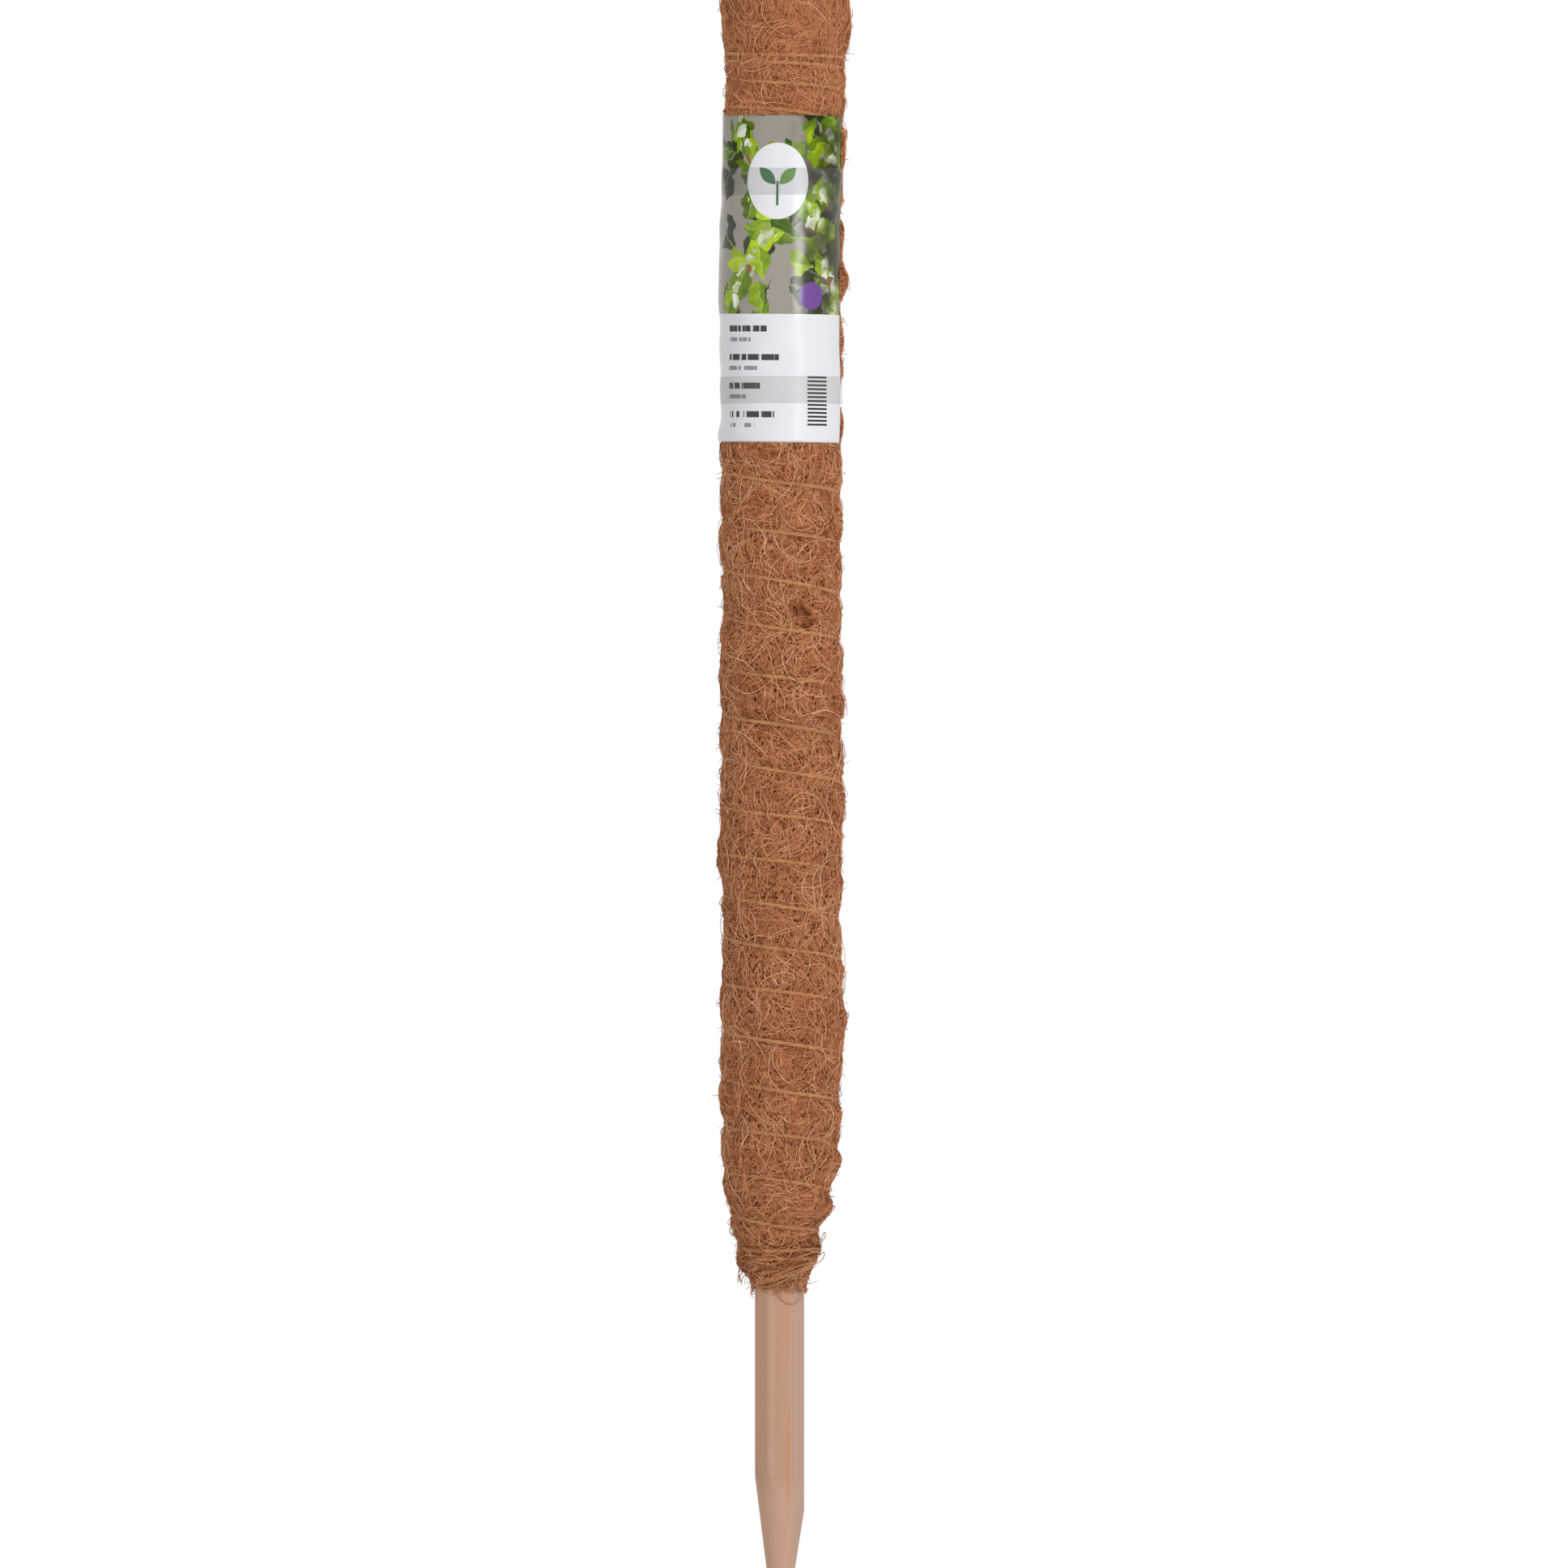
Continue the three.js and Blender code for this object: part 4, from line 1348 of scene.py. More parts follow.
@dataclass(frozen=True)
class Sway:
    """How far the wrapped coir stands off the stake's axis, as it was wound by hand."""

    heights: tuple[float, ...] = (142, 150, 160, 168, 176, 192, 480, 560, 610, 640, 700)
    shifts: tuple[float, ...] = (0.0, -1.2, -0.2, -1.2, 0.0, 0.6, 0.6, 0.5, 1.2, 2.5, 2.3)

    def bend(self, mesh: Mesh) -> None:
        """Move the points of a mesh sideways by height.

        Args:
            mesh: Mesh to move.
        """
        points = np.zeros(3 * len(mesh.vertices), dtype=np.float32)
        mesh.vertices.foreach_get("co", points)
        height = points[2::3] / MM
        points[0::3] += np.interp(height, self.heights, self.shifts) * MM
        mesh.vertices.foreach_set("co", points)
        mesh.update()

    def place(self, name: str, mesh: Mesh, slot: Slot, *nodes: str) -> None:
        """Bend a finished mesh and put it in the scene as a piece."""
        self.bend(mesh)
        add_piece(name, mesh, slot, *nodes)


@dataclass(frozen=True)
class TwinePath:
    """The twine's winding: turns counted from the front of the upper tie, downwards."""

    foot: float
    top: float
    diameter: float = 2.4 * MM
    pitch: float = 18.85 * MM
    sags: tuple[Triple, ...] = ((4.2 * MM, 1 / 3, 0.79), (2.0 * MM, 0.79, 1.0))
    turn_gap: float = 0.7 * MM
    upper_tie_drop: float = 56.7 * MM
    upper_lead_pitch: float = 8.2 * MM
    upper_run_pitch: float = 11.6 * MM
    lower_tie_height: float = 14.4 * MM
    lower_lead_pitch: float = 10.9 * MM
    tail_turns: float = 1.4
    tail_height: float = 3.4 * MM
    lead_in: float = 0.55
    wander: float = 0.45 * MM
    wander_waves: tuple[Triple, ...] = ((1.0, 0.73, 0.4), (0.6, 2.31, 2.0))
    lower_lean: float = 1.3 * MM
    spiral_start: int = 3

    @property
    def upper_tie(self) -> float:
        """Height of the first turn."""
        return self.top - self.upper_tie_drop

    @property
    def lower_tie(self) -> float:
        """Height of the lower tie's close turn."""
        return self.foot + self.lower_tie_height

    @property
    def tie_pitch(self) -> float:
        """Drop over a close turn."""
        return self.diameter + self.turn_gap

    @property
    def spiral_top(self) -> float:
        """Height at which the spiral starts."""
        return self.upper_tie - self.tie_pitch - self.upper_lead_pitch - self.upper_run_pitch

    @property
    def spiral_turns(self) -> int:
        """Whole turns of the spiral."""
        foot = self.lower_tie + self.lower_lead_pitch
        return round((self.spiral_top - foot) / self.pitch)

    @property
    def spiral_end(self) -> int:
        """Turn at which the spiral ends."""
        return self.spiral_start + self.spiral_turns

    @property
    def end(self) -> float:
        """Turn at which the twine ends."""
        return self.spiral_end + 2 + self.tail_turns

    def sag(self, share: Array) -> Array:
        """How far the hand-wound spiral hangs below an even pitch at shares of its turns."""
        bows = [(drop, (share - low) / (high - low)) for drop, low, high in self.sags]
        return sum(drop * np.sin(math.pi * np.clip(bow, 0.0, 1.0)) for drop, bow in bows)

    def stations(self) -> Array:
        """Follow the twine at the front of the pole.

        Returns:
            Its height after each whole turn.
        """
        upper_end = self.upper_tie - self.tie_pitch
        lower_end = self.lower_tie - self.tie_pitch
        share = np.arange(self.spiral_turns + 1) / self.spiral_turns
        spiral_foot = self.lower_tie + self.lower_lead_pitch
        spiral = self.spiral_top + (spiral_foot - self.spiral_top) * share - self.sag(share)
        tail_pitch = (lower_end - self.foot - self.tail_height) / self.tail_turns
        upper = [self.upper_tie, upper_end, upper_end - self.upper_lead_pitch]
        tail = [self.lower_tie, lower_end, lower_end - tail_pitch, lower_end - 2 * tail_pitch]
        return np.concatenate([upper, spiral, tail])

    def height(self, turn: Array) -> Array:
        """Follow the twine's middle at any part of a turn, with a slight wander.

        Args:
            turn: Turns from the front of the upper tie.

        Returns:
            Heights above the tip.
        """
        stations = self.stations()
        level = np.interp(turn, np.arange(len(stations)), stations)
        level = level + self.tie_pitch * np.maximum(-np.asarray(turn), 0.0)
        waves = self.wander_waves
        sway = sum(size * np.sin(TURN * rate * turn + shift) for size, rate, shift in waves)
        low = smoothstep(turn, self.spiral_end + 0.4, self.spiral_end + 0.8)
        lean = self.lower_lean * low * np.sin(TURN * turn)
        return level + self.wander * self.free(turn) * sway + lean

    def free(self, turn: Array) -> Array:
        """One along the spiral, easing to zero at the ties."""
        start = smoothstep(turn, 1.0, 1.6)
        return start * (1.0 - smoothstep(turn, self.spiral_end + 0.4, self.spiral_end + 1.0))

    def nearest(self, angle: Array, height: Array) -> tuple[Array, Array]:
        """Find the twine nearest to places on the pole.

        Args:
            angle: Angles round the pole.
            height: Heights above the tip.

        Returns:
            The turn of the nearest twine, and the height above it.
        """
        stations = self.stations()
        count = np.arange(len(stations))
        rough = np.interp(height, stations[::-1], count[::-1])
        part = ((angle - FRONT) / TURN) % 1.0
        turn = np.clip(np.round(rough - part) + part, -self.lead_in, self.end)
        return turn, height - self.height(turn)


@dataclass(frozen=True)
class CoirForm:
    """Outer form of the coir: neck, pinched swells and crown."""

    sizes: PoleSizes
    path: TwinePath
    label: "PaperLabel"
    sway: Sway
    stake: "Stake"
    fluff: float = 0.75 * MM
    neck_heights: tuple[float, ...] = (2.6, 7.5, 11.4, 16.0, 24.0, 31.0, 41.0, 50.0, 62.0, 73.0)
    neck_radii: tuple[float, ...] = (11.2, 13.9, 15.9, 16.9, 18.3, 20.8, 22.1, 23.5, 24.5, 25.2)
    foot_gap: float = 0.45 * MM
    crown_swell: float = 1.5 * MM
    crown_rise: float = 16.0 * MM
    crown_round: float = 30.0 * MM
    crown_flat: float = 14.4 * MM
    bore_radius: float = 11.35 * MM
    upper_squeeze: float = 0.6 * MM
    label_bulge: float = 1.5 * MM
    squeeze_ease: float = 8.0 * MM
    groove_depth: float = 1.75 * MM
    press_gap: float = 0.3 * MM
    twine_sink: float = 0.4 * MM
    side_sink: float = 0.7 * MM
    twine_show: float = 0.75 * MM
    upper_bite: float = 1.4 * MM
    tie_bite: float = 1.0 * MM
    tail_bite: float = 2.2 * MM
    lump: float = 0.4 * MM
    slow_lump: float = 0.28 * MM
    pleat: float = 0.4 * MM
    foot_wave: float = 0.55 * MM
    foot_ease: float = 8.0 * MM
    pinch_reach: float = 0.2
    free_pinch_reach: float = 0.14
    pinch_power: float = 2.2
    bulge_middle: float = 0.45
    bulge_change: float = 0.4
    twine_room: float = 0.6
    lump_waves: Ripples = Ripples(5, (0, 6), (14.0 * MM, 60.0 * MM))
    slow_waves: Ripples = Ripples(61, (0, 3), (70.0 * MM, 170.0 * MM))
    pleat_waves: Ripples = Ripples(11, (7, 15), (60.0 * MM, 150.0 * MM))
    label_waves: Ripples = Ripples(37, (0, 2), (26.0 * MM, 44.0 * MM))
    right_swells: Swells = (
        (605, 7, 1.6), (582, 5, -1.2), (574, 5, 1.0), (564, 6, -2.0), (553, 7, 3.0), (532, 7, -1.9),
        (498, 5, -1.2), (430, 8, -1.4), (381, 7, 1.2), (372, 3, -1.5), (347, 5, 1.2), (328, 8, 1.4),
        (310, 6, 1.2), (286, 6, -1.5), (269, 5, 1.1), (253, 7, 2.0), (237, 4, 1.6), (222, 6, -2.3),
        (208, 5, -0.9), (195, 5, 1.7), (174, 4, 1.2), (149, 3, 1.6),
    )
    left_swells: Swells = (
        (629, 4, -1.1), (480, 5, -1.1), (423, 7, -1.6), (395, 4, 1.4), (381, 5, -1.0), (340, 3, 1.4),
        (330, 5, -1.0), (319, 5, 1.6), (308, 4, -1.4), (292, 5, -1.4), (273, 7, -1.2), (237, 5, -0.9),
        (184, 6, 1.8), (151.5, 4, 1.5),
    )

    @property
    def full_radius(self) -> float:
        """Radius of the swells along the spiral."""
        return self.sizes.crown_radius - self.crown_swell - self.fluff

    @property
    def shoulder(self) -> float:
        """Height at which the crown starts to round over."""
        return self.sizes.coir_top - self.crown_round

    @property
    def foot_round(self) -> float:
        """Height of the last rows, which close in on the stake."""
        return self.neck_heights[0] * MM

    def risen(self, height: Array, low: float, high: float) -> Array:
        """Ease from 0 to 1 between two heights over the coir's foot."""
        return smoothstep(height, self.sizes.coir_foot + low, self.sizes.coir_foot + high)

    def foot_ring(self, angle: Array) -> Array:
        """Radius at which the coir ends on the stake."""
        return self.stake.section(angle) + self.foot_gap

    def crest(self, height: Array) -> Array:
        """Radius of the swells, before the twine pinches them.

        Args:
            height: Heights above the tip.

        Returns:
            The radius at each height.
        """
        path = self.path
        over_foot = (height - self.sizes.coir_foot) / MM
        body = np.interp(over_foot, self.neck_heights, self.neck_radii) * MM
        body = np.minimum(body - self.fluff, self.full_radius)
        crown = smoothstep(height, path.upper_tie, path.upper_tie + self.crown_rise)
        reach = path.diameter / 2
        tie_foot = path.upper_tie - path.tie_pitch - reach
        tie = stretch(height, tie_foot, path.upper_tie + reach, self.squeeze_ease)
        return body + self.crown_swell * crown - self.upper_squeeze * tie

    def radius(self, angle: Array, height: Array) -> Array:
        """Radius of the pinched, lumpy surface.

        Args:
            angle: Angles round the pole.
            height: Heights above the tip.

        Returns:
            The radius at each place.
        """
        crest = self.crest(height)
        turn, away = self.path.nearest(angle, height)
        free = self.path.free(turn)
        half = self.path.pitch * (self.pinch_reach + self.free_pinch_reach * free)
        pinch = (1.0 - np.clip(np.abs(away) / half, 0.0, 1.0)) ** self.pinch_power
        bite = np.where(turn < self.path.spiral_start, self.upper_bite, self.tie_bite)
        depth = bite + (self.groove_depth - bite) * free
        depth = depth * self.risen(height, 0.0, self.foot_ease)
        lumps = self.lump_waves.at(angle, height)
        slow = self.slow_waves.at(angle, height)
        lumps = (lumps * self.lump + slow * self.slow_lump) * crest / self.full_radius
        low = 1.0 - self.risen(height, 0.0, self.neck_heights[-1] * MM)
        pleats = self.pleat_waves.at(angle, height) * self.pleat * low
        inset = self.squeeze_ease
        beside = stretch(height, self.sizes.label_foot + inset, self.sizes.label_top - inset, inset)
        swell = self.bulge_middle + self.bulge_change * self.label_waves.at(angle, height)
        bulge = self.label_bulge * beside * np.clip(swell, 0.0, 1.0)
        radius = crest + lumps + pleats + bulge - depth * pinch
        radius = radius + side_swell(angle, height, 1.0, self.right_swells)
        radius = radius + side_swell(angle, height, -1.0, self.left_swells)
        return np.minimum(radius, self.label.ceiling(angle, height) - self.press_gap)

    def seat(self, turn: Array) -> Array:
        """Radius of the twine's middle along its path.

        Args:
            turn: Turns from the front of the upper tie.

        Returns:
            The radius at each turn.
        """
        free = self.path.free(turn)
        tail = smoothstep(turn, self.path.spiral_end + 2.0, self.path.spiral_end + 2.3)
        bite = self.tie_bite + (self.tail_bite - self.tie_bite) * tail
        bite = np.where(turn < self.path.spiral_start, self.upper_bite, bite)
        proud = self.path.diameter / 2 - bite
        sunk = self.path.diameter / 2 - self.twine_sink - self.groove_depth
        height = self.path.height(turn)
        sides = np.sin(TURN * turn) ** 2
        seat = self.crest(height) + proud + (sunk - proud - self.side_sink * sides) * free
        shown = self.radius(FRONT + TURN * turn, height) + self.twine_show - self.side_sink * sides
        seat = seat + free * np.maximum(shown - seat, 0.0)
        seat = seat - self.tail_bite * smoothstep(-np.asarray(turn), 0.3, self.path.lead_in)
        room = self.label.ceiling(FRONT + TURN * turn, height) - self.path.diameter * self.twine_room
        return np.minimum(seat, room)


class Zone(Enum):
    """Parts of the coir that a layer of fibres covers."""

    ALL = "all"
    NECK = "neck"


@dataclass(frozen=True)
class StrandLayer(RecipeSizes):
    """One layer of fibres on the coir: how many, how long and how loose."""

    name: str
    count: int
    batches: int
    points: int
    length: float
    curl: float
    wave: float
    rise: float
    sink: float
    radius: float
    darkest: float
    palest: float
    spread: float
    # How much painted shade darkens these fibres at the shadowed gaps.
    shade_spots: float
    over_twine: bool
    seed: int
    zone: Zone = Zone.ALL


@dataclass(frozen=True)
class HairTuft(RecipeSizes):
    """Loose hairs of one kind: how long they are, how far they stand off and how they curl."""

    length: float
    stand: float
    bend: float
    seed: int = 907
    points: int = 6
    root: float = 0.3 * MM
    radius: float = 0.14 * MM
    tiles: float = 60.0
    darkest: float = 0.0
    palest: float = 1.0


@dataclass(frozen=True)
class Yarn(RecipeSizes):
    """How twine or a loose strand is made: its plies, their lay and their slubs."""

    ply_radius: float
    plies: int = 1
    ply_offset: float = 0.0
    lay: float = 5.0 * MM
    step: float = 0.8 * MM
    slub: float = 0.5


@dataclass
class CoirMat:
    """The coir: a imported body, layers of lying fibres and loose hairs.

    A crossing adds fibres over the twine. A calm takes away from their swirl and their spread.
    """

    form: CoirForm
    columns: int = 120
    row_step: float = 1.3 * MM
    dome_rows: int = 26
    foot_rows: int = 6
    dome_bend: float = 24.0 * MM
    dome_power: float = 0.85
    dome_lump: float = 0.4 * MM
    dome_drop: float = 0.3 * MM
    bore_gap: float = 0.2 * MM
    bore_lip: float = 0.5 * MM
    sleeve_drops: Triple = (6.0, 3.0, 0.8)
    label_inset: float = 6.0 * MM
    label_margin: float = 1.6 * MM
    tape_margin: float = 1.0 * MM
    pressed_rise: float = 0.05 * MM
    neck_fade: Pair = (10 * MM, 19 * MM)
    neck_turn: Pair = (20 * MM, 80 * MM)
    hem_fade: Pair = (7 * MM, 12 * MM)
    crown_start: float = 6 * MM
    twine_reach: float = 1.6 * MM
    foot_lift: float = 2.5 * MM
    wave_length: float = 15.0 * MM
    batch_step: int = 17
    tie_crossing: float = 3.0
    spiral_crossing: float = -0.85
    side_crossing: float = 2.0
    swirl: float = 0.75
    hem_turn: float = 0.4
    crown_calm: Pair = (0.5, 0.35)
    neck_calm: Pair = (0.6, 0.3)
    hair_fringe: Pair = (0.6, 1.4)
    foot_crest: float = 1.4
    dome_reach: float = 20.0
    hair_margin: float = 2.0 * MM
    hair_fade: Pair = (3 * MM, 10 * MM)
    fly_aways: HairTuft = HairTuft(3.2 * MM, 0.3, 2.8)
    fly_away_count: int = 2600
    foot_hairs: HairTuft = HairTuft(4.4 * MM, 0.35, 1.8)
    foot_hair_count: int = 140
    foot_waves: Ripples = Ripples(53, (2, 9), (20 * MM, 40 * MM))
    dome_waves: Ripples = Ripples(17, (1, 5), (15 * MM, 40 * MM))
    swirl_waves: Ripples = Ripples(43, (1, 4), (24 * MM, 70 * MM))
    fibre_stops: Stops = (
        (0.0, (80, 36, 14)),
        (0.3, (154, 90, 52)),
        (0.6, (205, 135, 90)),
        (0.85, (226, 167, 123)),
        (1.0, (242, 196, 152)),
    )
    hair_stops: Stops = ((0.0, (58, 38, 34)), (0.6, (112, 70, 50)), (1.0, (182, 126, 90)))
    layers: tuple[StrandLayer, ...] = (
        StrandLayer(
            "coir_under_fibres", 13000, 4, 5, 10 * MM, 170.0, 0.2 * MM, 0.4 * MM, 0.5 * MM,
            0.18 * MM, 0.36, 0.7, 1.4, 0.35, False, 101,
        ),
        StrandLayer(
            "coir_long_fibres", 12500, 4, 8, 18 * MM, 150.0, 0.3 * MM, 0.8 * MM, 0.4 * MM,
            0.15 * MM, 0.46, 0.84, 0.9, 0.25, False, 201,
        ),
        StrandLayer(
            "coir_pale_fibres", 3000, 2, 11, 26 * MM, 115.0, 0.4 * MM, 1.0 * MM, 0.3 * MM,
            0.175 * MM, 0.76, 1.0, 1.2, 0.0, False, 301,
        ),
        StrandLayer(
            "coir_crossing_fibres", 1400, 1, 8, 15 * MM, 140.0, 0.3 * MM, 0.6 * MM, 0.4 * MM,
            0.17 * MM, 0.55, 0.86, 0.9, 0.0, True, 351,
        ),
        StrandLayer(
            "coir_loose_loops", 2000, 1, 8, 7 * MM, 220.0, 0.3 * MM, 1.6 * MM, 0.4 * MM,
            0.15 * MM, 0.05, 0.55, 1.2, 0.0, False, 401,
        ),
        StrandLayer(
            "coir_edge_loops", 900, 1, 8, 13 * MM, 90.0, 0.4 * MM, 2.2 * MM, 0.3 * MM,
            0.13 * MM, 0.35, 0.75, 0.8, 0.0, False, 701,
        ),
        StrandLayer(
            "coir_dark_fibres", 800, 1, 6, 10 * MM, 120.0, 0.2 * MM, 0.8 * MM, 0.4 * MM,
            0.17 * MM, -0.05, 0.2, 1.0, 0.0, False, 501,
        ),
        StrandLayer(
            "coir_neck_fibres", 420, 1, 8, 14 * MM, 110.0, 0.3 * MM, 0.9 * MM, 0.4 * MM,
            0.17 * MM, 0.2, 0.9, 0.9, 0.0, True, 601, Zone.NECK,
        ),
        StrandLayer(
            "coir_neck_shadows", 200, 1, 6, 13 * MM, 60.0, 0.3 * MM, 0.7 * MM, 0.3 * MM,
            0.2 * MM, -0.1, 0.12, 0.3, 0.0, False, 651, Zone.NECK,
        ),
    )
    stains: tuple[tuple[float, float, float, float], ...] = (
        (15.0, 418.5, 2.6, 0.35),
        (23.0, 418.0, 2.8, 0.45),
        (28.0, 416.0, 1.7, 0.4),
        (28.0, 411.8, 1.9, 0.65),
        (33.0, 413.0, 1.4, 0.5),
        (-5.0, 440.0, 2.0, 0.4),
        (-14.0, 388.0, 2.4, 0.25),
        (-2.0, 377.0, 2.8, 0.3),
        (140.0, 300.0, 3.0, 0.5),
        (-120.0, 520.0, 3.0, 0.5),
        (32.0, 145.6, 5.0, -0.3),
    )

    def outer(self) -> tuple[Array, Array]:
        """Shape the outer surface, row by row from the foot to the crown.

        Returns:
            Radii and heights of its points.
        """
        form = self.form
        angle = np.arange(self.columns) * TURN / self.columns
        low = form.sizes.coir_foot + form.foot_round
        count = round((form.shoulder - low) / self.row_step)
        rows = np.linspace(low, form.shoulder, count + 1)
        radius = form.radius(angle[None, :], rows[:, None])
        height = np.repeat(rows[:, None], self.columns, axis=1)
        share = np.linspace(0.0, 1.0, self.foot_rows + 1)[:-1, None]
        ring = form.foot_ring(angle)[None, :]
        foot_radius = ring + (radius[:1] - ring) * share
        wave = self.foot_waves.at(angle, np.zeros_like(angle))
        drop = np.clip(wave, -self.foot_crest, self.foot_crest) * form.foot_wave * (1.0 - share)
        foot_height = form.sizes.coir_foot + form.foot_round * share + drop
        turn = np.linspace(0.0, math.pi / 2, self.dome_rows + 1)[1:, None]
        lumps = self.dome_waves.at(angle[None, :], turn * self.dome_reach * MM)
        level = np.cos(turn) ** self.dome_power
        dome_radius = form.crown_flat + (radius[-1:] - form.crown_flat) * level
        dome_radius = dome_radius + self.dome_lump * lumps * np.sin(2 * turn)
        drop = self.dome_drop * (1 + lumps)
        dome_height = form.shoulder + form.crown_round * np.sin(turn) - drop
        foot_height, _ = np.broadcast_arrays(foot_height, foot_radius)
        return (
            np.concatenate([foot_radius, radius, dome_radius]),
            np.concatenate([foot_height, height, np.minimum(dome_height, form.sizes.coir_top)]),
        )

    def body(self) -> None:
        """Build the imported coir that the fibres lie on."""
        angle = np.arange(self.columns) * TURN / self.columns
        radius, height = self.outer()
        bore = np.full((2, self.columns), self.form.bore_radius)
        bore[1] = self.form.foot_ring(angle) - self.bore_gap
        lowest, highest = self.form.sizes.coir_foot, height[-1].min()
        ends = np.array([[highest - self.bore_lip], [lowest + self.bore_lip]])
        radius = np.concatenate([radius, bore])
        height = np.concatenate([height, np.repeat(ends, self.columns, axis=1)])
        points = polar(radius, angle[None, :], height)
        faces = grid_faces(len(radius), self.columns, True, True)
        mesh = new_mesh("coir_body", points, faces.tolist())
        mesh.materials.append(MatFinish().material())
        nodes = ("outer_coir_mat", "inner_coir_wrap")
        self.form.sway.place("coir_body", mesh, Slot.COIR, *nodes)

    def skin(self, over_twine: bool, zone: Zone) -> Mesh:
        """Make the bare outer surface that fibres are laid on.

        Args:
            over_twine: Whether it runs over the twine, or under it in the groove.
            zone: Part of the coir that fibres start on.

        Returns:
            The surface, with what the strands read at its points.
        """
        form = self.form
        angle = np.arange(self.columns)[None, :] * TURN / self.columns
        radius, height = self.outer()
        sleeve = form.sizes.coir_foot - np.array(self.sleeve_drops)[:, None] * MM
        sleeve = np.repeat(sleeve, self.columns, axis=1)
        radius = np.concatenate([form.foot_ring(angle) + 0.0 * sleeve, radius])
        height = np.concatenate([sleeve, height])
        foot = form.sizes.coir_foot
        turn, away = form.path.nearest(angle, height)
        hidden = form.label.cover(angle, height, -self.label_inset)
        weight = (1.0 - hidden) * (height > foot)
        if zone is Zone.NECK:
            weight = weight * (1.0 - form.risen(height, *self.neck_fade))
        if over_twine:
            near = np.exp(-((away / self.twine_reach) ** 2))
            top = form.seat(turn) + form.path.diameter / 2
            radius = np.maximum(radius, radius + (top - radius) * near)
            radius = np.minimum(radius, form.label.ceiling(angle, height) - form.press_gap)
            side = np.abs(np.cos(angle)) ** 3
            loose = np.where(turn < form.path.spiral_start, self.tie_crossing, self.spiral_crossing)
            weight = weight * (1.0 + near * (self.side_crossing * side + loose * (1.0 - side)))
        points = polar(radius, angle, height)
        mesh = new_mesh("coir_skin", points, grid_faces(len(radius), self.columns, True).tolist())
        crown = smoothstep(height, form.path.upper_tie + self.crown_start, form.shoulder)
        neck = 1.0 - form.risen(height, *self.neck_turn)
        add_floats(mesh, "weight", weight)
        swirl = self.swirl * self.swirl_waves.at(angle, height)
        swirl = swirl * (1.0 - self.crown_calm[0] * crown) * (1.0 - self.neck_calm[0] * neck)
        hem = 1.0 - form.risen(height, *self.hem_fade)
        add_floats(mesh, "heading", math.pi / 2 * (1.0 - neck) + swirl + self.hem_turn * hem)
        spread = 1.0 - self.crown_calm[1] * crown - self.neck_calm[1] * neck
        add_floats(mesh, "spread", spread)
        under = form.label.cover(angle, height, self.label_margin)
        under = under + form.sizes.taped(height, self.tape_margin)
        add_floats(mesh, "ceiling", np.where(under > 0.0, self.pressed_rise, 1.0))
        return mesh

    @staticmethod
    def live_area(skin: Mesh) -> float:
        """Measure a skin, counted by the weight at its points.

        Args:
            skin: Surface that fibres start on.

        Returns:
            Its area in square metres.
        """
        weight = np.zeros(len(skin.vertices), dtype=np.float32)
        skin.attributes["weight"].data.foreach_get("value", weight)
        areas = np.zeros(len(skin.polygons), dtype=np.float32)
        skin.polygons.foreach_get("area", areas)
        corners = np.zeros(len(skin.loops), dtype=np.int32)
        skin.loops.foreach_get("vertex_index", corners)
        return float((areas * weight[corners.reshape(-1, 4)].mean(axis=1)).sum())

    def spots(self) -> Stains:
        """Place the dark spots of husk, and the pale foot.

        Returns:
            Place, reach and depth of each.
        """
        rows = []
        for side, level, reach, depth in self.stains:
            angle = FRONT + math.radians(side)
            height = np.array(level * MM)
            place = polar(self.form.crest(height), np.array(angle), height)
            rows.append((tuple(place.tolist()), reach * MM, depth))
        return tuple(rows)

    def fibres(self) -> None:
        """Lay the layers of fibres on the skin."""
        recipe = StrandRecipe()
        skins: dict[tuple[bool, Zone], Mesh] = {}
        for layer in self.layers:
            key = (layer.over_twine, layer.zone)
            skin = skins.get(key) or self.skin(*key)
            skins[key] = skin
            area = self.live_area(skin)
            share = layer.count / layer.batches
            finish = FibreFinish(layer.name, self.fibre_stops, layer.shade_spots, self.spots())
            material = finish.material()
            for batch in range(layer.batches):
                name = f"{layer.name}_{batch + 1}"
                mesh = recipe.run(
                    name,
                    skin,
                    layer,
                    seed=layer.seed + self.batch_step * batch,
                    density=share / area,
                    shoulder_height=self.form.shoulder,
                    dome_radius=self.dome_bend,
                    foot_height=self.form.sizes.coir_foot + self.foot_lift,
                    wave_count=TURN / self.wave_length,
                    tiles=float(math.ceil(math.sqrt(2.0 * share))),
                    material=material,
                )
                self.form.sway.place(name, mesh, Slot.COIR)
        self.hairs(skins[False, Zone.ALL])

    def hairs(self, skin: Mesh) -> None:
        """Add fly-away hairs that stand off the coir, and longer ones at its foot.

        Args:
            skin: Surface that they start on.
        """
        material = FibreFinish("fly_away_fibre", self.hair_stops).material()
        recipe = HairRecipe()
        heights, angles = point_places(skin)
        above = heights > self.form.sizes.coir_foot
        low = 1.0 - self.form.risen(heights, *self.hair_fade)
        bare = self.form.label.bare(angles, heights, self.hair_margin)
        fringe = self.hair_fringe[0] + self.hair_fringe[1] * np.cos(angles) ** 4
        for name, weight, count, tuft in (
            ("coir_fly_aways", bare * fringe, self.fly_away_count, self.fly_aways),
            ("coir_foot_hairs", low, self.foot_hair_count, self.foot_hairs),
        ):
            source = skin.copy()
            source.attributes["weight"].data.foreach_set("value", (weight * above).astype(np.float32))
            density = count / self.live_area(source)
            mesh = recipe.run(name, source, tuft, density=density, material=material)
            self.form.sway.place(name, mesh, Slot.COIR)

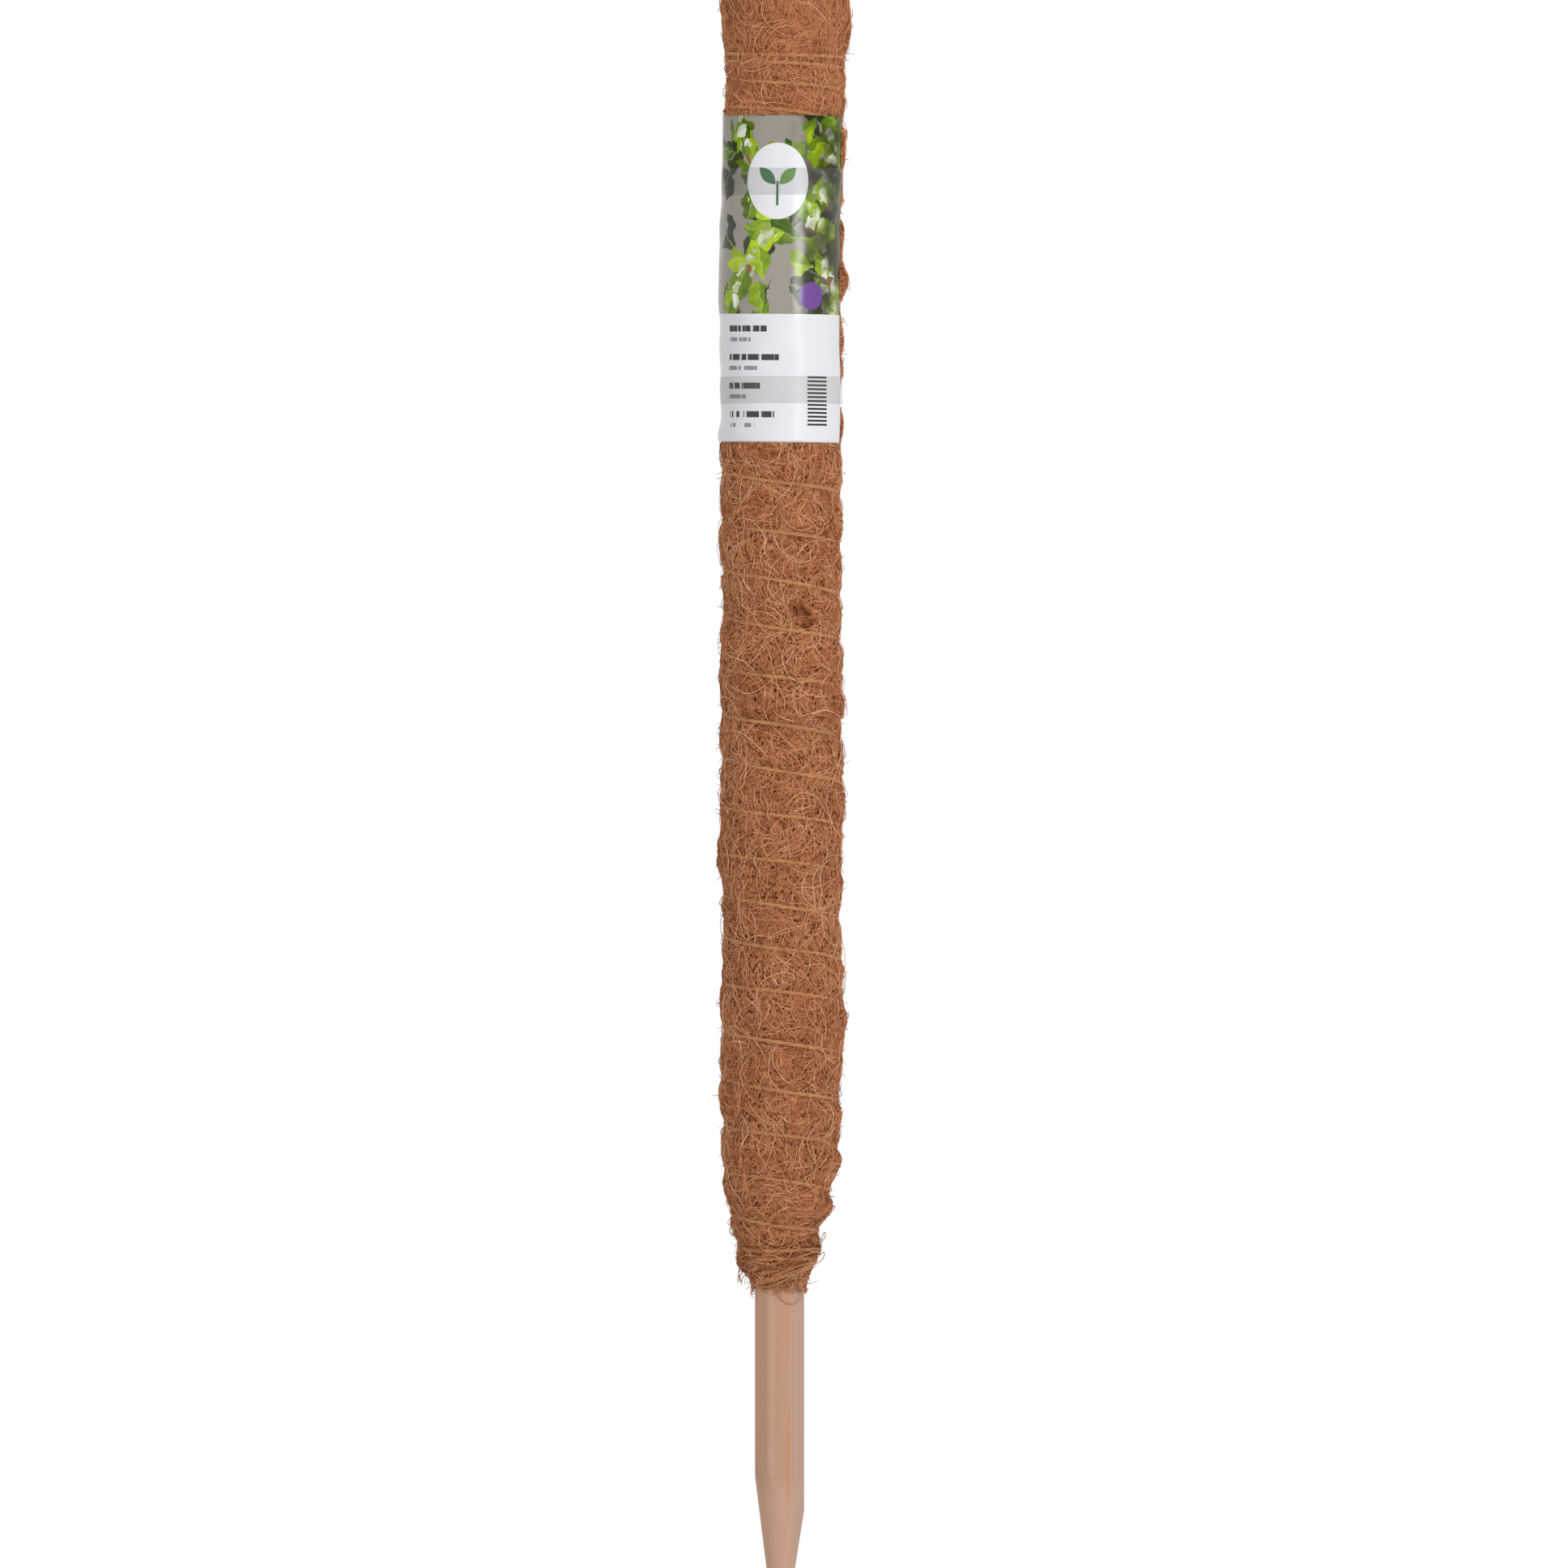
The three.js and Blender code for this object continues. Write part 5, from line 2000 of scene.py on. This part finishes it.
    def build(self) -> None:
        """Build the whole mat."""
        self.body()
        self.fibres()


@dataclass
class TwineBinding:
    """The twine: an upper tie, a spiral and a lower tie of twisted plies with fuzz."""

    form: CoirForm
    yarn: Yarn = Yarn(0.6 * MM, 2, 0.34 * MM, 9.0 * MM, 1.0 * MM)
    fuzz_margin: float = 3.5 * MM
    fuzz_density: float = 80000.0
    fuzz: HairTuft = HairTuft(2.4 * MM, 0.5, 1.0, 41, 5, 0.1 * MM, 0.06 * MM, 64.0)
    fuzz_stops: Stops = ((0.0, (120, 80, 42)), (1.0, (212, 168, 104)))
    turn_points: int = 72

    def build(self) -> None:
        """Build the three stretches and their fuzz."""
        path = self.form.path
        recipe = TwineRecipe()
        fuzz_recipe = HairRecipe()
        jute = TwineFinish().material()
        fluff = FibreFinish("jute_fuzz", self.fuzz_stops).material()
        stretches = (
            ("upper_tie", "upper_twine_tie", -path.lead_in, path.spiral_start),
            ("spiral", "spiral_twine", path.spiral_start, path.spiral_end),
            ("lower_tie", "lower_twine_tie", path.spiral_end, path.end),
        )
        for name, node, start, end in stretches:
            turn = np.linspace(start, end, round((end - start) * self.turn_points) + 1)
            line = polar(self.form.seat(turn), FRONT + TURN * turn, path.height(turn))
            mesh = recipe.run(f"{name}_twine", line_mesh(name, [line]), self.yarn, material=jute)
            heights, angles = point_places(mesh)
            self.form.sway.place(f"{name}_twine", mesh, Slot.TWINE, node)
            add_floats(mesh, "weight", self.form.label.bare(angles, heights, self.fuzz_margin))
            fuzz = fuzz_recipe.run(
                f"{name}_fuzz", mesh, self.fuzz, density=self.fuzz_density, material=fluff
            )
            add_piece(f"{name}_fuzz", fuzz, Slot.TWINE)


@dataclass
class StrayFibres:
    """Loose ends at the foot of the coir: slanting strands, a small knot and a hanging loop.

    Each path is a row of places: degrees to the right of the front, height and radius in millimetres.
    """

    form: CoirForm
    slant_yarn: Yarn = Yarn(0.34 * MM)
    loop_yarn: Yarn = Yarn(0.17 * MM)
    curl_yarn: Yarn = Yarn(0.14 * MM)
    tone: float = 0.6
    stops: Stops = ((0.0, (120, 74, 48)), (1.0, (206, 142, 96)))
    slant: Places = (
        (112, 155.8, 14.6), (96, 155.2, 15.2), (70, 152.6, 15.0), (40, 150.2, 14.2), (10, 147.4, 12.9),
        (-20, 145.2, 11.9), (-50, 144.0, 11.5), (-80, 143.6, 11.3), (-110, 143.8, 10.9),
    )
    lump: tuple[Places, ...] = (
        ((18, 157.2, 15.6), (34, 158.0, 17.0), (54, 158.4, 17.5), (74, 157.8, 17.2), (92, 157.0, 15.8)),
        ((20, 159.2, 15.8), (38, 158.0, 17.2), (58, 157.0, 17.4), (78, 156.4, 17.0), (96, 156.0, 15.8)),
        ((26, 154.8, 15.6), (42, 156.2, 17.0), (60, 157.6, 17.6), (76, 159.0, 17.4), (90, 159.8, 16.2)),
    )
    slant_steps: tuple[Pair, ...] = ((-1.9, -0.1), (-0.7, 0.15), (0.5, -0.05), (1.8, 0.1))
    curl_count: int = 46
    curl_seed: int = 71
    curl_width: float = 34.0
    curl_drop: Pair = (0.6, 3.4)
    curl_rise: Pair = (-0.6, 1.6)
    loops: tuple[Places, ...] = (
        ((-14, 144.6, 11.6), (-9, 141.2, 11.1), (8, 137.0, 10.6), (28, 135.8, 11.5), (40, 137.6, 12.6),
         (45, 141.0, 12.8), (40, 144.6, 12.6)),
        ((2, 144.4, 11.8), (8, 142.2, 11.2), (20, 141.2, 11.4), (31, 142.0, 11.9), (30, 144.4, 12.2)),
        ((-10, 144.2, 11.6), (0, 141.6, 10.9), (11, 142.2, 10.9), (15, 144.4, 11.6)),
        ((36, 144.0, 12.2), (44, 141.8, 12.9), (54, 141.0, 13.6), (60, 142.4, 13.4)),
        ((-62, 145.0, 12.2), (-64, 141.0, 12.6), (-62, 138.4, 12.5)),
        ((-70, 144.6, 12.0), (-68, 141.6, 12.4), (-70, 139.4, 12.6)),
        ((-78, 154.0, 15.8), (-84, 150.0, 16.6), (-82, 145.0, 16.4)),
        ((-86, 152.0, 15.4), (-92, 147.4, 16.8), (-88, 144.2, 17.0)),
        ((-70, 149.0, 14.0), (-76, 146.0, 15.6), (-74, 143.6, 16.2)),
        ((-98, 150.0, 14.6), (-101, 147.0, 16.4), (-104, 144.6, 16.2)),
        ((88, 160.0, 16.4), (92, 163.2, 18.6), (88, 165.0, 18.2), (86, 161.0, 16.6)),
        ((84, 155.0, 15.8), (90, 157.0, 18.0), (94, 154.4, 17.8), (88, 152.0, 15.2)),
        ((150, 145.0, 12.2), (160, 141.0, 11.6), (176, 139.8, 11.4), (188, 144.0, 11.9)),
    )

    @staticmethod
    def smooth_line(places: Places, steps: int = 8) -> Array:
        """Round a row of places off to a smooth line of points.

        Args:
            places: Degrees to the right of the front, heights and radii in millimetres.
            steps: Points for each stretch between places.

        Returns:
            Points of the line.
        """
        rough = np.array(places)
        rough = polar(rough[:, 2] * MM, FRONT + np.radians(rough[:, 0]), rough[:, 1] * MM)
        rough = np.concatenate([2 * rough[:1] - rough[1:2], rough, 2 * rough[-1:] - rough[-2:-1]])
        share = np.linspace(0.0, 1.0, steps, endpoint=False)[:, None]
        parts = []
        for before, here, after, later in zip(rough, rough[1:], rough[2:], rough[3:]):
            slope = (after - before) / 2
            end_slope = (later - here) / 2
            rise = after - here
            parts.append(
                here + slope * share + (3 * rise - 2 * slope - end_slope) * share**2
                + (slope + end_slope - 2 * rise) * share**3
            )
        return np.concatenate([*parts, rough[-2:-1]])

    def slants(self) -> list[Places]:
        """Place the slanting strands, which cross slightly, and the lump over them.

        Returns:
            The places along each strand.
        """
        strands = [
            [
                (side, level + rise * (0.7 + 0.5 * math.cos(0.05 * side + 3.0 * rise)), radius + out)
                for side, level, radius in self.slant
            ]
            for rise, out in self.slant_steps
        ]
        return [*strands, *self.lump]

    def curls(self) -> list[Places]:
        """Place short seeded curls that hang from the foot all round and lie on the stake.

        Returns:
            The places along each curl.
        """
        draws = np.random.default_rng(self.curl_seed)
        foot = self.form.sizes.coir_foot / MM
        paths = []
        for _ in range(self.curl_count):
            start = draws.uniform(0.0, 360.0)
            width = draws.uniform(-self.curl_width, self.curl_width)
            drop = draws.uniform(*self.curl_drop)
            last = draws.uniform(*self.curl_rise)
            path = []
            for share, level, out in (
                (0.0, 2.0, 1.1),
                (0.2, 0.2, 0.5),
                (0.45, -0.85 * drop, 0.25),
                (0.75, -drop, 0.35),
                (1.0, last - drop, 0.6),
            ):
                side = start + width * share
                ring = float(self.form.foot_ring(np.array([FRONT + math.radians(side)]))[0]) / MM
                path.append((side, foot + level, ring + out))
            paths.append(path)
        return paths

    def build(self) -> None:
        """Build the slanting strands, the loops and the curls."""
        recipe = TwineRecipe()
        coir = FibreFinish("stray_fibre", self.stops).material()
        jute = TwineFinish().material()
        for name, paths, yarn, slot, material in (
            ("foot_slants", self.slants(), self.slant_yarn, Slot.TWINE, jute),
            ("foot_loops", self.loops, self.loop_yarn, Slot.COIR, coir),
            ("foot_curls", self.curls(), self.curl_yarn, Slot.COIR, coir),
        ):
            lines = line_mesh(name, [self.smooth_line(places) for places in paths])
            mesh = recipe.run(name, lines, yarn, material=material)
            add_floats(mesh, "tone", np.full(len(mesh.vertices), self.tone))
            add_piece(name, mesh, slot)


@dataclass
class Stake:
    """The wooden stake: a planed square with cut corners, sharpened to a blunt point."""

    sizes: PoleSizes
    chamfer: float = 5.3 * MM
    tip_radius: float = 1.8 * MM
    point_length: float = 58.0 * MM
    point_lean: float = 0.0165
    edge_power: float = 44.0
    columns: int = 144
    chip_height: float = 62.6 * MM
    chip_depth: float = 0.7 * MM
    chip_reach: float = 1.7 * MM
    chip_side: float = math.radians(68.0)
    end_round: Pair = (0.35 * MM, 0.4 * MM)
    tip_round: Pair = (0.5 * MM, 0.5 * MM)
    end_rings: tuple[float, ...] = (3.0, 1.2, 0.5, 0.15, 0.0)

    def section(self, angle: Array) -> Array:
        """Radius of the planed section, with slightly rounded edges.

        Args:
            angle: Angles round the stake.

        Returns:
            The radius at each angle.
        """
        half = self.sizes.stake_half
        corner = (2 * half - self.chamfer) / math.sqrt(2.0)
        total = np.zeros_like(angle)
        for side in range(8):
            distance = corner if side % 2 else half
            facing = np.maximum(np.cos(angle - side * TURN / 8), 0.0)
            total = total + (facing / distance) ** self.edge_power
        return total ** (-1.0 / self.edge_power)

    def build(self) -> None:
        """Build the stake."""
        angle = np.arange(self.columns) * TURN / self.columns
        foot, end = self.sizes.coir_foot, self.sizes.stake_top
        point = np.linspace(0.0, 90.0 * MM, 81)
        bare = np.linspace(96.0 * MM, foot + 10.0 * MM, 8)
        hidden = np.linspace(foot + 30.0 * MM, end - 6.0 * MM, 12)
        rings = end - np.array(self.end_rings) * MM
        height = np.concatenate([point, bare, hidden, rings])[:, None]
        slope = (self.sizes.stake_half - self.tip_radius) / self.point_length
        cone = self.tip_radius + slope * height
        lean = self.point_lean * height
        cone = lean * np.cos(angle) + np.sqrt(cone**2 - (lean * np.sin(angle)) ** 2)
        flat = np.broadcast_to(self.section(angle), cone.shape)
        radius = np.minimum(flat, cone)
        from_end = end - height
        for away, (depth, reach) in ((from_end, self.end_round), (height, self.tip_round)):
            radius = radius - depth * np.exp(-away / reach)
        across = (angle - (FRONT - self.chip_side)) * radius
        away = (across / self.chip_reach) ** 2 + ((height - self.chip_height) / self.chip_reach) ** 2
        radius = radius - self.chip_depth * np.exp(-away * 2.0)
        points = polar(radius, angle, height)
        rows = len(points)
        caps = np.array([[0.0, 0.0, 0.0], [0.0, 0.0, self.sizes.stake_top]])
        faces = grid_faces(rows, self.columns, True).tolist()
        bottom, top = rows * self.columns, rows * self.columns + 1
        last = (rows - 1) * self.columns
        for side in range(self.columns):
            after = (side + 1) % self.columns
            faces.append([bottom, after, side])
            faces.append([top, last + side, last + after])
        mesh = new_mesh("stake", np.concatenate([points.reshape(-1, 3), caps]), faces)
        mesh.materials.append(WoodFinish().material())
        add_piece("stake", mesh, Slot.WOOD, "wooden_stake")


def shell_mesh(name: str, radius: Array, angle: Array, height: Array, thickness: float) -> Mesh:
    """Make a thin sheet that is bent round the pole, with its rim closed.

    Args:
        name: Name of the mesh.
        radius: Radii of the side that shows, rows upwards and columns against the clock.
        angle: Angles round the pole.
        height: Heights above the tip.
        thickness: Thickness of the sheet.

    Returns:
        The sheet.
    """
    outer, inner = (polar(side, angle, height) for side in (radius, radius - thickness))
    rows, columns = outer.shape[:2]
    count = rows * columns
    face_grid = grid_faces(rows, columns, False)
    faces = face_grid.tolist() + (face_grid[:, ::-1] + count).tolist()
    number = np.arange(count).reshape(rows, columns)
    rim = np.concatenate([number[0, :-1], number[:-1, -1], number[-1, :0:-1], number[:0:-1, 0]])
    for here, after in zip(rim, np.roll(rim, -1)):
        faces.append([int(after), int(here), int(here + count), int(after + count)])
    return new_mesh(name, np.concatenate([outer.reshape(-1, 3), inner.reshape(-1, 3)]), faces)


@dataclass
class PaperLabel:
    """The printed paper label round the front and left of the pole."""

    sizes: PoleSizes
    sway: Sway
    width: float = 81.0 * MM
    turn: float = math.radians(-16.9)
    tilt: float = math.radians(0.5)
    thickness: float = 0.16 * MM
    wave: float = 0.16 * MM
    inset: float = 0.15 * MM
    side_ease: float = 4.0 * MM
    end_ease: float = 3.0 * MM
    free_rise: float = 4.0 * MM
    tape_press: float = 0.8
    edge_room: float = 1.0 * MM
    waves: Ripples = Ripples(23, (0, 5), (24.0 * MM, 70.0 * MM))
    fine_waves: Ripples = Ripples(29, (2, 9), (15.0 * MM, 24.0 * MM))
    lifts: Swells = ((548, 13, 1.2), (489, 4, 1.4))
    columns: int = 72
    rows: int = 110

    def from_middle(self, angle: Array) -> Array:
        """Distances round the pole from the label's middle line."""
        turned = (angle - FRONT - self.turn + math.pi) % TURN - math.pi
        return np.abs(turned) * self.sizes.label_radius

    def cover(self, angle: Array, height: Array, margin: float) -> Array:
        """Mark places that lie under the label.

        Args:
            angle: Angles round the pole.
            height: Heights above the tip.
            margin: How far past its edges, or inside them if negative, still counts.

        Returns:
            One under the label and zero elsewhere.
        """
        inside = self.from_middle(angle) < self.width / 2 + margin
        low = height > self.sizes.label_foot - margin
        high = height < self.sizes.label_top + margin
        return (inside & low & high).astype(float)

    def bare(self, angle: Array, height: Array, margin: float) -> Array:
        """Mark places with 1 that neither the label nor the tape covers, margin included."""
        return (1.0 - self.cover(angle, height, margin)) * (1 - self.sizes.taped(height, margin))

    def ceiling(self, angle: Array, height: Array) -> Array:
        """Radius that the label and the tape leave for the coir.

        Args:
            angle: Angles round the pole.
            height: Heights above the tip.

        Returns:
            The radius at each place.
        """
        sizes = self.sizes
        across = self.from_middle(angle) - self.width / 2
        sides = 1.0 - smoothstep(across, 0.0, self.side_ease)
        paper = sides * stretch(height, sizes.label_foot, sizes.label_top, self.end_ease)
        tapes = sum(stretch(height, low, high, self.side_ease) for low, high in sizes.tapes)
        press = np.maximum(paper, self.tape_press * tapes)
        inner = sizes.label_radius - self.inset - self.thickness - 2.0 * self.wave
        return inner + self.free_rise * (1.0 - press)

    def radius(self, angle: Array, height: Array) -> Array:
        """Radius of the paper's outer side, which follows the swells a little.

        Args:
            angle: Angles round the pole.
            height: Heights above the tip.

        Returns:
            The radius at each place.
        """
        waves = self.waves.at(angle, height) + 0.5 * self.fine_waves.at(angle, height)
        lift = side_swell(angle, height, -1.0, self.lifts)
        return self.sizes.label_radius - self.inset + self.wave * waves + lift

    def build(self) -> None:
        """Build the label."""
        foot, top = self.sizes.label_foot, self.sizes.label_top
        half = self.width / self.sizes.label_radius / 2
        across = np.linspace(-half, half, self.columns)[None, :]
        up = np.linspace(foot, top, self.rows)[:, None]
        angle = FRONT + self.turn + across
        slope = -math.tan(self.tilt) * across * self.sizes.label_radius
        height = np.clip(up + slope, foot - self.edge_room, top + self.edge_room)
        radius = self.radius(angle, height)
        mesh = shell_mesh("printed_label", radius, angle, height, self.thickness)
        u, v = np.meshgrid(np.linspace(0, 1, self.columns), np.linspace(0, 1, self.rows))
        places = np.stack([u, v], axis=-1).reshape(-1, 2)
        add_uv(mesh, "Label", np.concatenate([places, places]))
        mesh.materials.append(LabelPrint(self.width, top - foot).material())
        self.sway.place("printed_label", mesh, Slot.PAPER, "paper_label")


@dataclass
class TapeBand:
    """A band of clear tape round the label and the coir."""

    name: str
    node: str
    form: CoirForm
    tilt: float
    thickness: float = 0.06 * MM
    clear: float = 0.5 * MM
    overlap: float = math.radians(22.0)
    start: float = math.radians(118.0)
    paper_gap: float = 0.04 * MM
    paper_margin: float = 0.5 * MM
    smooth_columns: int = 7
    overlap_rise: float = 0.1 * MM
    overlap_ramp: float = 6.0
    columns: int = 180
    rows: int = 8

    def build(self) -> None:
        """Build the band."""
        low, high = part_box(self.node)
        angle = np.linspace(self.start, self.start + TURN + self.overlap, self.columns)[None, :]
        up = np.linspace(low[2], high[2], self.rows)[:, None]
        height = up + self.tilt * np.sin(angle)
        label = self.form.label
        paper = label.radius(angle, height) + self.paper_gap + self.thickness
        coir = self.form.radius(angle, height).max(axis=0, keepdims=True) + self.clear + 0.0 * up
        on_label = label.cover(angle, height, self.paper_margin)
        radius = np.where(on_label > 0.0, paper, coir)
        smooth = np.ones(self.smooth_columns) / self.smooth_columns
        pad = self.smooth_columns // 2
        padded = np.concatenate([radius[:, :pad], radius, radius[:, -pad:]], axis=1)
        radius = np.stack([np.convolve(row, smooth, "valid") for row in padded])
        radius = np.where(on_label > 0.0, np.maximum(radius, paper), radius)
        past = (angle - self.start - TURN) / self.overlap
        second = np.clip(past * self.overlap_ramp, 0.0, 1.0)
        radius = radius + self.overlap_rise * second
        mesh = shell_mesh(self.name, radius, angle, height, self.thickness)
        mesh.materials.append(FilmFinish().material())
        self.form.sway.place(self.name, mesh, Slot.FILM, self.node)


@dataclass(frozen=True)
class Lamp:
    """A soft lamp: degrees to the right of the camera, place, width and height, and watts."""

    name: str
    side: float
    height: float
    away: float
    size: Pair
    power: float
    rays: Rays = Rays.BODY

    def build(self) -> None:
        """Add the lamp in front of the pole."""
        data = bpy.data.lights.new(self.name, "AREA")
        data.shape = "RECTANGLE"
        data.size, data.size_y = self.size
        data.energy = self.power
        lamp = bpy.data.objects.new(self.name, data)
        turn = math.radians(self.side)
        lamp.location = (self.away * math.sin(turn), -self.away * math.cos(turn), self.height)
        lamp.rotation_euler = (math.pi / 2, 0.0, turn)
        lamp.visible_diffuse = self.rays is Rays.BODY
        lamp.visible_glossy = self.rays is Rays.SHEEN
        bpy.context.scene.collection.objects.link(lamp)


@dataclass
class Studio:
    """Camera, floor, lamps and world."""

    frame_width: float = 637.6 * MM
    frame_middle: Pair = (1.8 * MM, 347.2 * MM)
    distance: float = 14.0
    sensor: float = 36.0
    floor_radius: float = 1.6
    floor_sides: int = 96
    floor_tone: Screen = (232, 232, 232)
    floor_glow: float = 1.06
    floor_share: float = 0.9
    world_light: float = 0.62
    lamps: tuple[Lamp, ...] = (
        Lamp("key_lamp", 38.0, 0.75, 2.4, (0.36, 1.9), 27.0),
        Lamp("fill_lamp", -30.0, 0.6, 2.6, (1.6, 1.8), 12.0),
        Lamp("side_lamp", 96.0, 0.6, 2.2, (0.8, 1.8), 2.0),
        Lamp("sheen_lamp", 33.0, 0.75, 2.4, (0.7, 1.9), 57.0, Rays.SHEEN),
    )

    def build(self) -> None:
        """Set up everything around the pole."""
        bpy.context.scene.view_settings.view_transform = "Standard"
        self.camera()
        self.floor()
        self.world()
        for lamp in self.lamps:
            lamp.build()

    def camera(self) -> None:
        """Look along +Y from far away, so that the pole shows no perspective."""
        data = bpy.data.cameras.new("camera")
        data.sensor_width = self.sensor
        data.lens = self.sensor * self.distance / self.frame_width
        camera = bpy.data.objects.new("camera", data)
        camera.location = (self.frame_middle[0], -self.distance, self.frame_middle[1])
        camera.rotation_euler = (math.pi / 2, 0.0, 0.0)
        bpy.context.scene.collection.objects.link(camera)
        bpy.context.scene.camera = camera

    @staticmethod
    def seen(graph: Graph) -> Wire:
        """Tell rays that show a thing from rays that light another.

        Args:
            graph: Nodes of a material or a world.

        Returns:
            One for rays from the camera, mirrors and clear film, zero for others.
        """
        path = graph.add("ShaderNodeLightPath")
        camera = graph.out(path, "Is Camera Ray")
        glossy = graph.out(path, "Is Glossy Ray")
        clear = graph.out(path, "Is Transmission Ray")
        return graph.math("MAXIMUM", camera, graph.math("MAXIMUM", glossy, clear))

    def floor(self) -> None:
        """Lay a round white floor that keeps a soft shadow."""
        angle = np.arange(self.floor_sides) * TURN / self.floor_sides
        rim = polar(np.array(self.floor_radius), angle, np.array(0.0))
        mesh = new_mesh("floor", rim, [list(range(self.floor_sides))])
        material = bpy.data.materials.new("white_floor")
        material.use_nodes = True
        graph = Graph(material.node_tree)
        material.node_tree.nodes.clear()
        diffuse = graph.use("ShaderNodeBsdfDiffuse", {"Color": linear(self.floor_tone)})
        glow = graph.use("ShaderNodeEmission", {"Color": WHITE, "Strength": self.floor_glow})
        share = self.seen(graph) * self.floor_share
        mix = graph.use("ShaderNodeMixShader", {0: share, 1: diffuse, 2: glow})
        graph.add("ShaderNodeOutputMaterial", {"Surface": mix})
        mesh.materials.append(material)
        floor = bpy.data.objects.new("floor", mesh)
        bpy.context.scene.collection.objects.link(floor)

    def world(self) -> None:
        """Set white behind the pole, and even soft light on it."""
        world = bpy.data.worlds.new("studio")
        world.use_nodes = True
        world.node_tree.nodes.clear()
        graph = Graph(world.node_tree)
        strength = graph.blend(self.seen(graph), self.world_light, 1.0)
        light = graph.use("ShaderNodeBackground", {"Color": WHITE, "Strength": strength})
        graph.add("ShaderNodeOutputWorld", {"Surface": light})
        bpy.context.scene.world = world


def main() -> None:
    """Build every sub-assembly in order."""
    logging.basicConfig(level=logging.INFO, format="%(message)s")
    Studio().build()
    sizes = PoleSizes.from_frame()
    sway = Sway()
    label = PaperLabel(sizes, sway)
    stake = Stake(sizes)
    form = CoirForm(sizes, TwinePath(sizes.coir_foot, sizes.coir_top), label, sway, stake)
    stake.build()
    CoirMat(form).build()
    TwineBinding(form).build()
    StrayFibres(form).build()
    label.build()
    TapeBand("upper_tape", "upper_tape_band", form, 0.3 * MM).build()
    TapeBand("lower_tape", "lower_tape_band", form, -0.25 * MM).build()


if __name__ == "__main__":
    main()
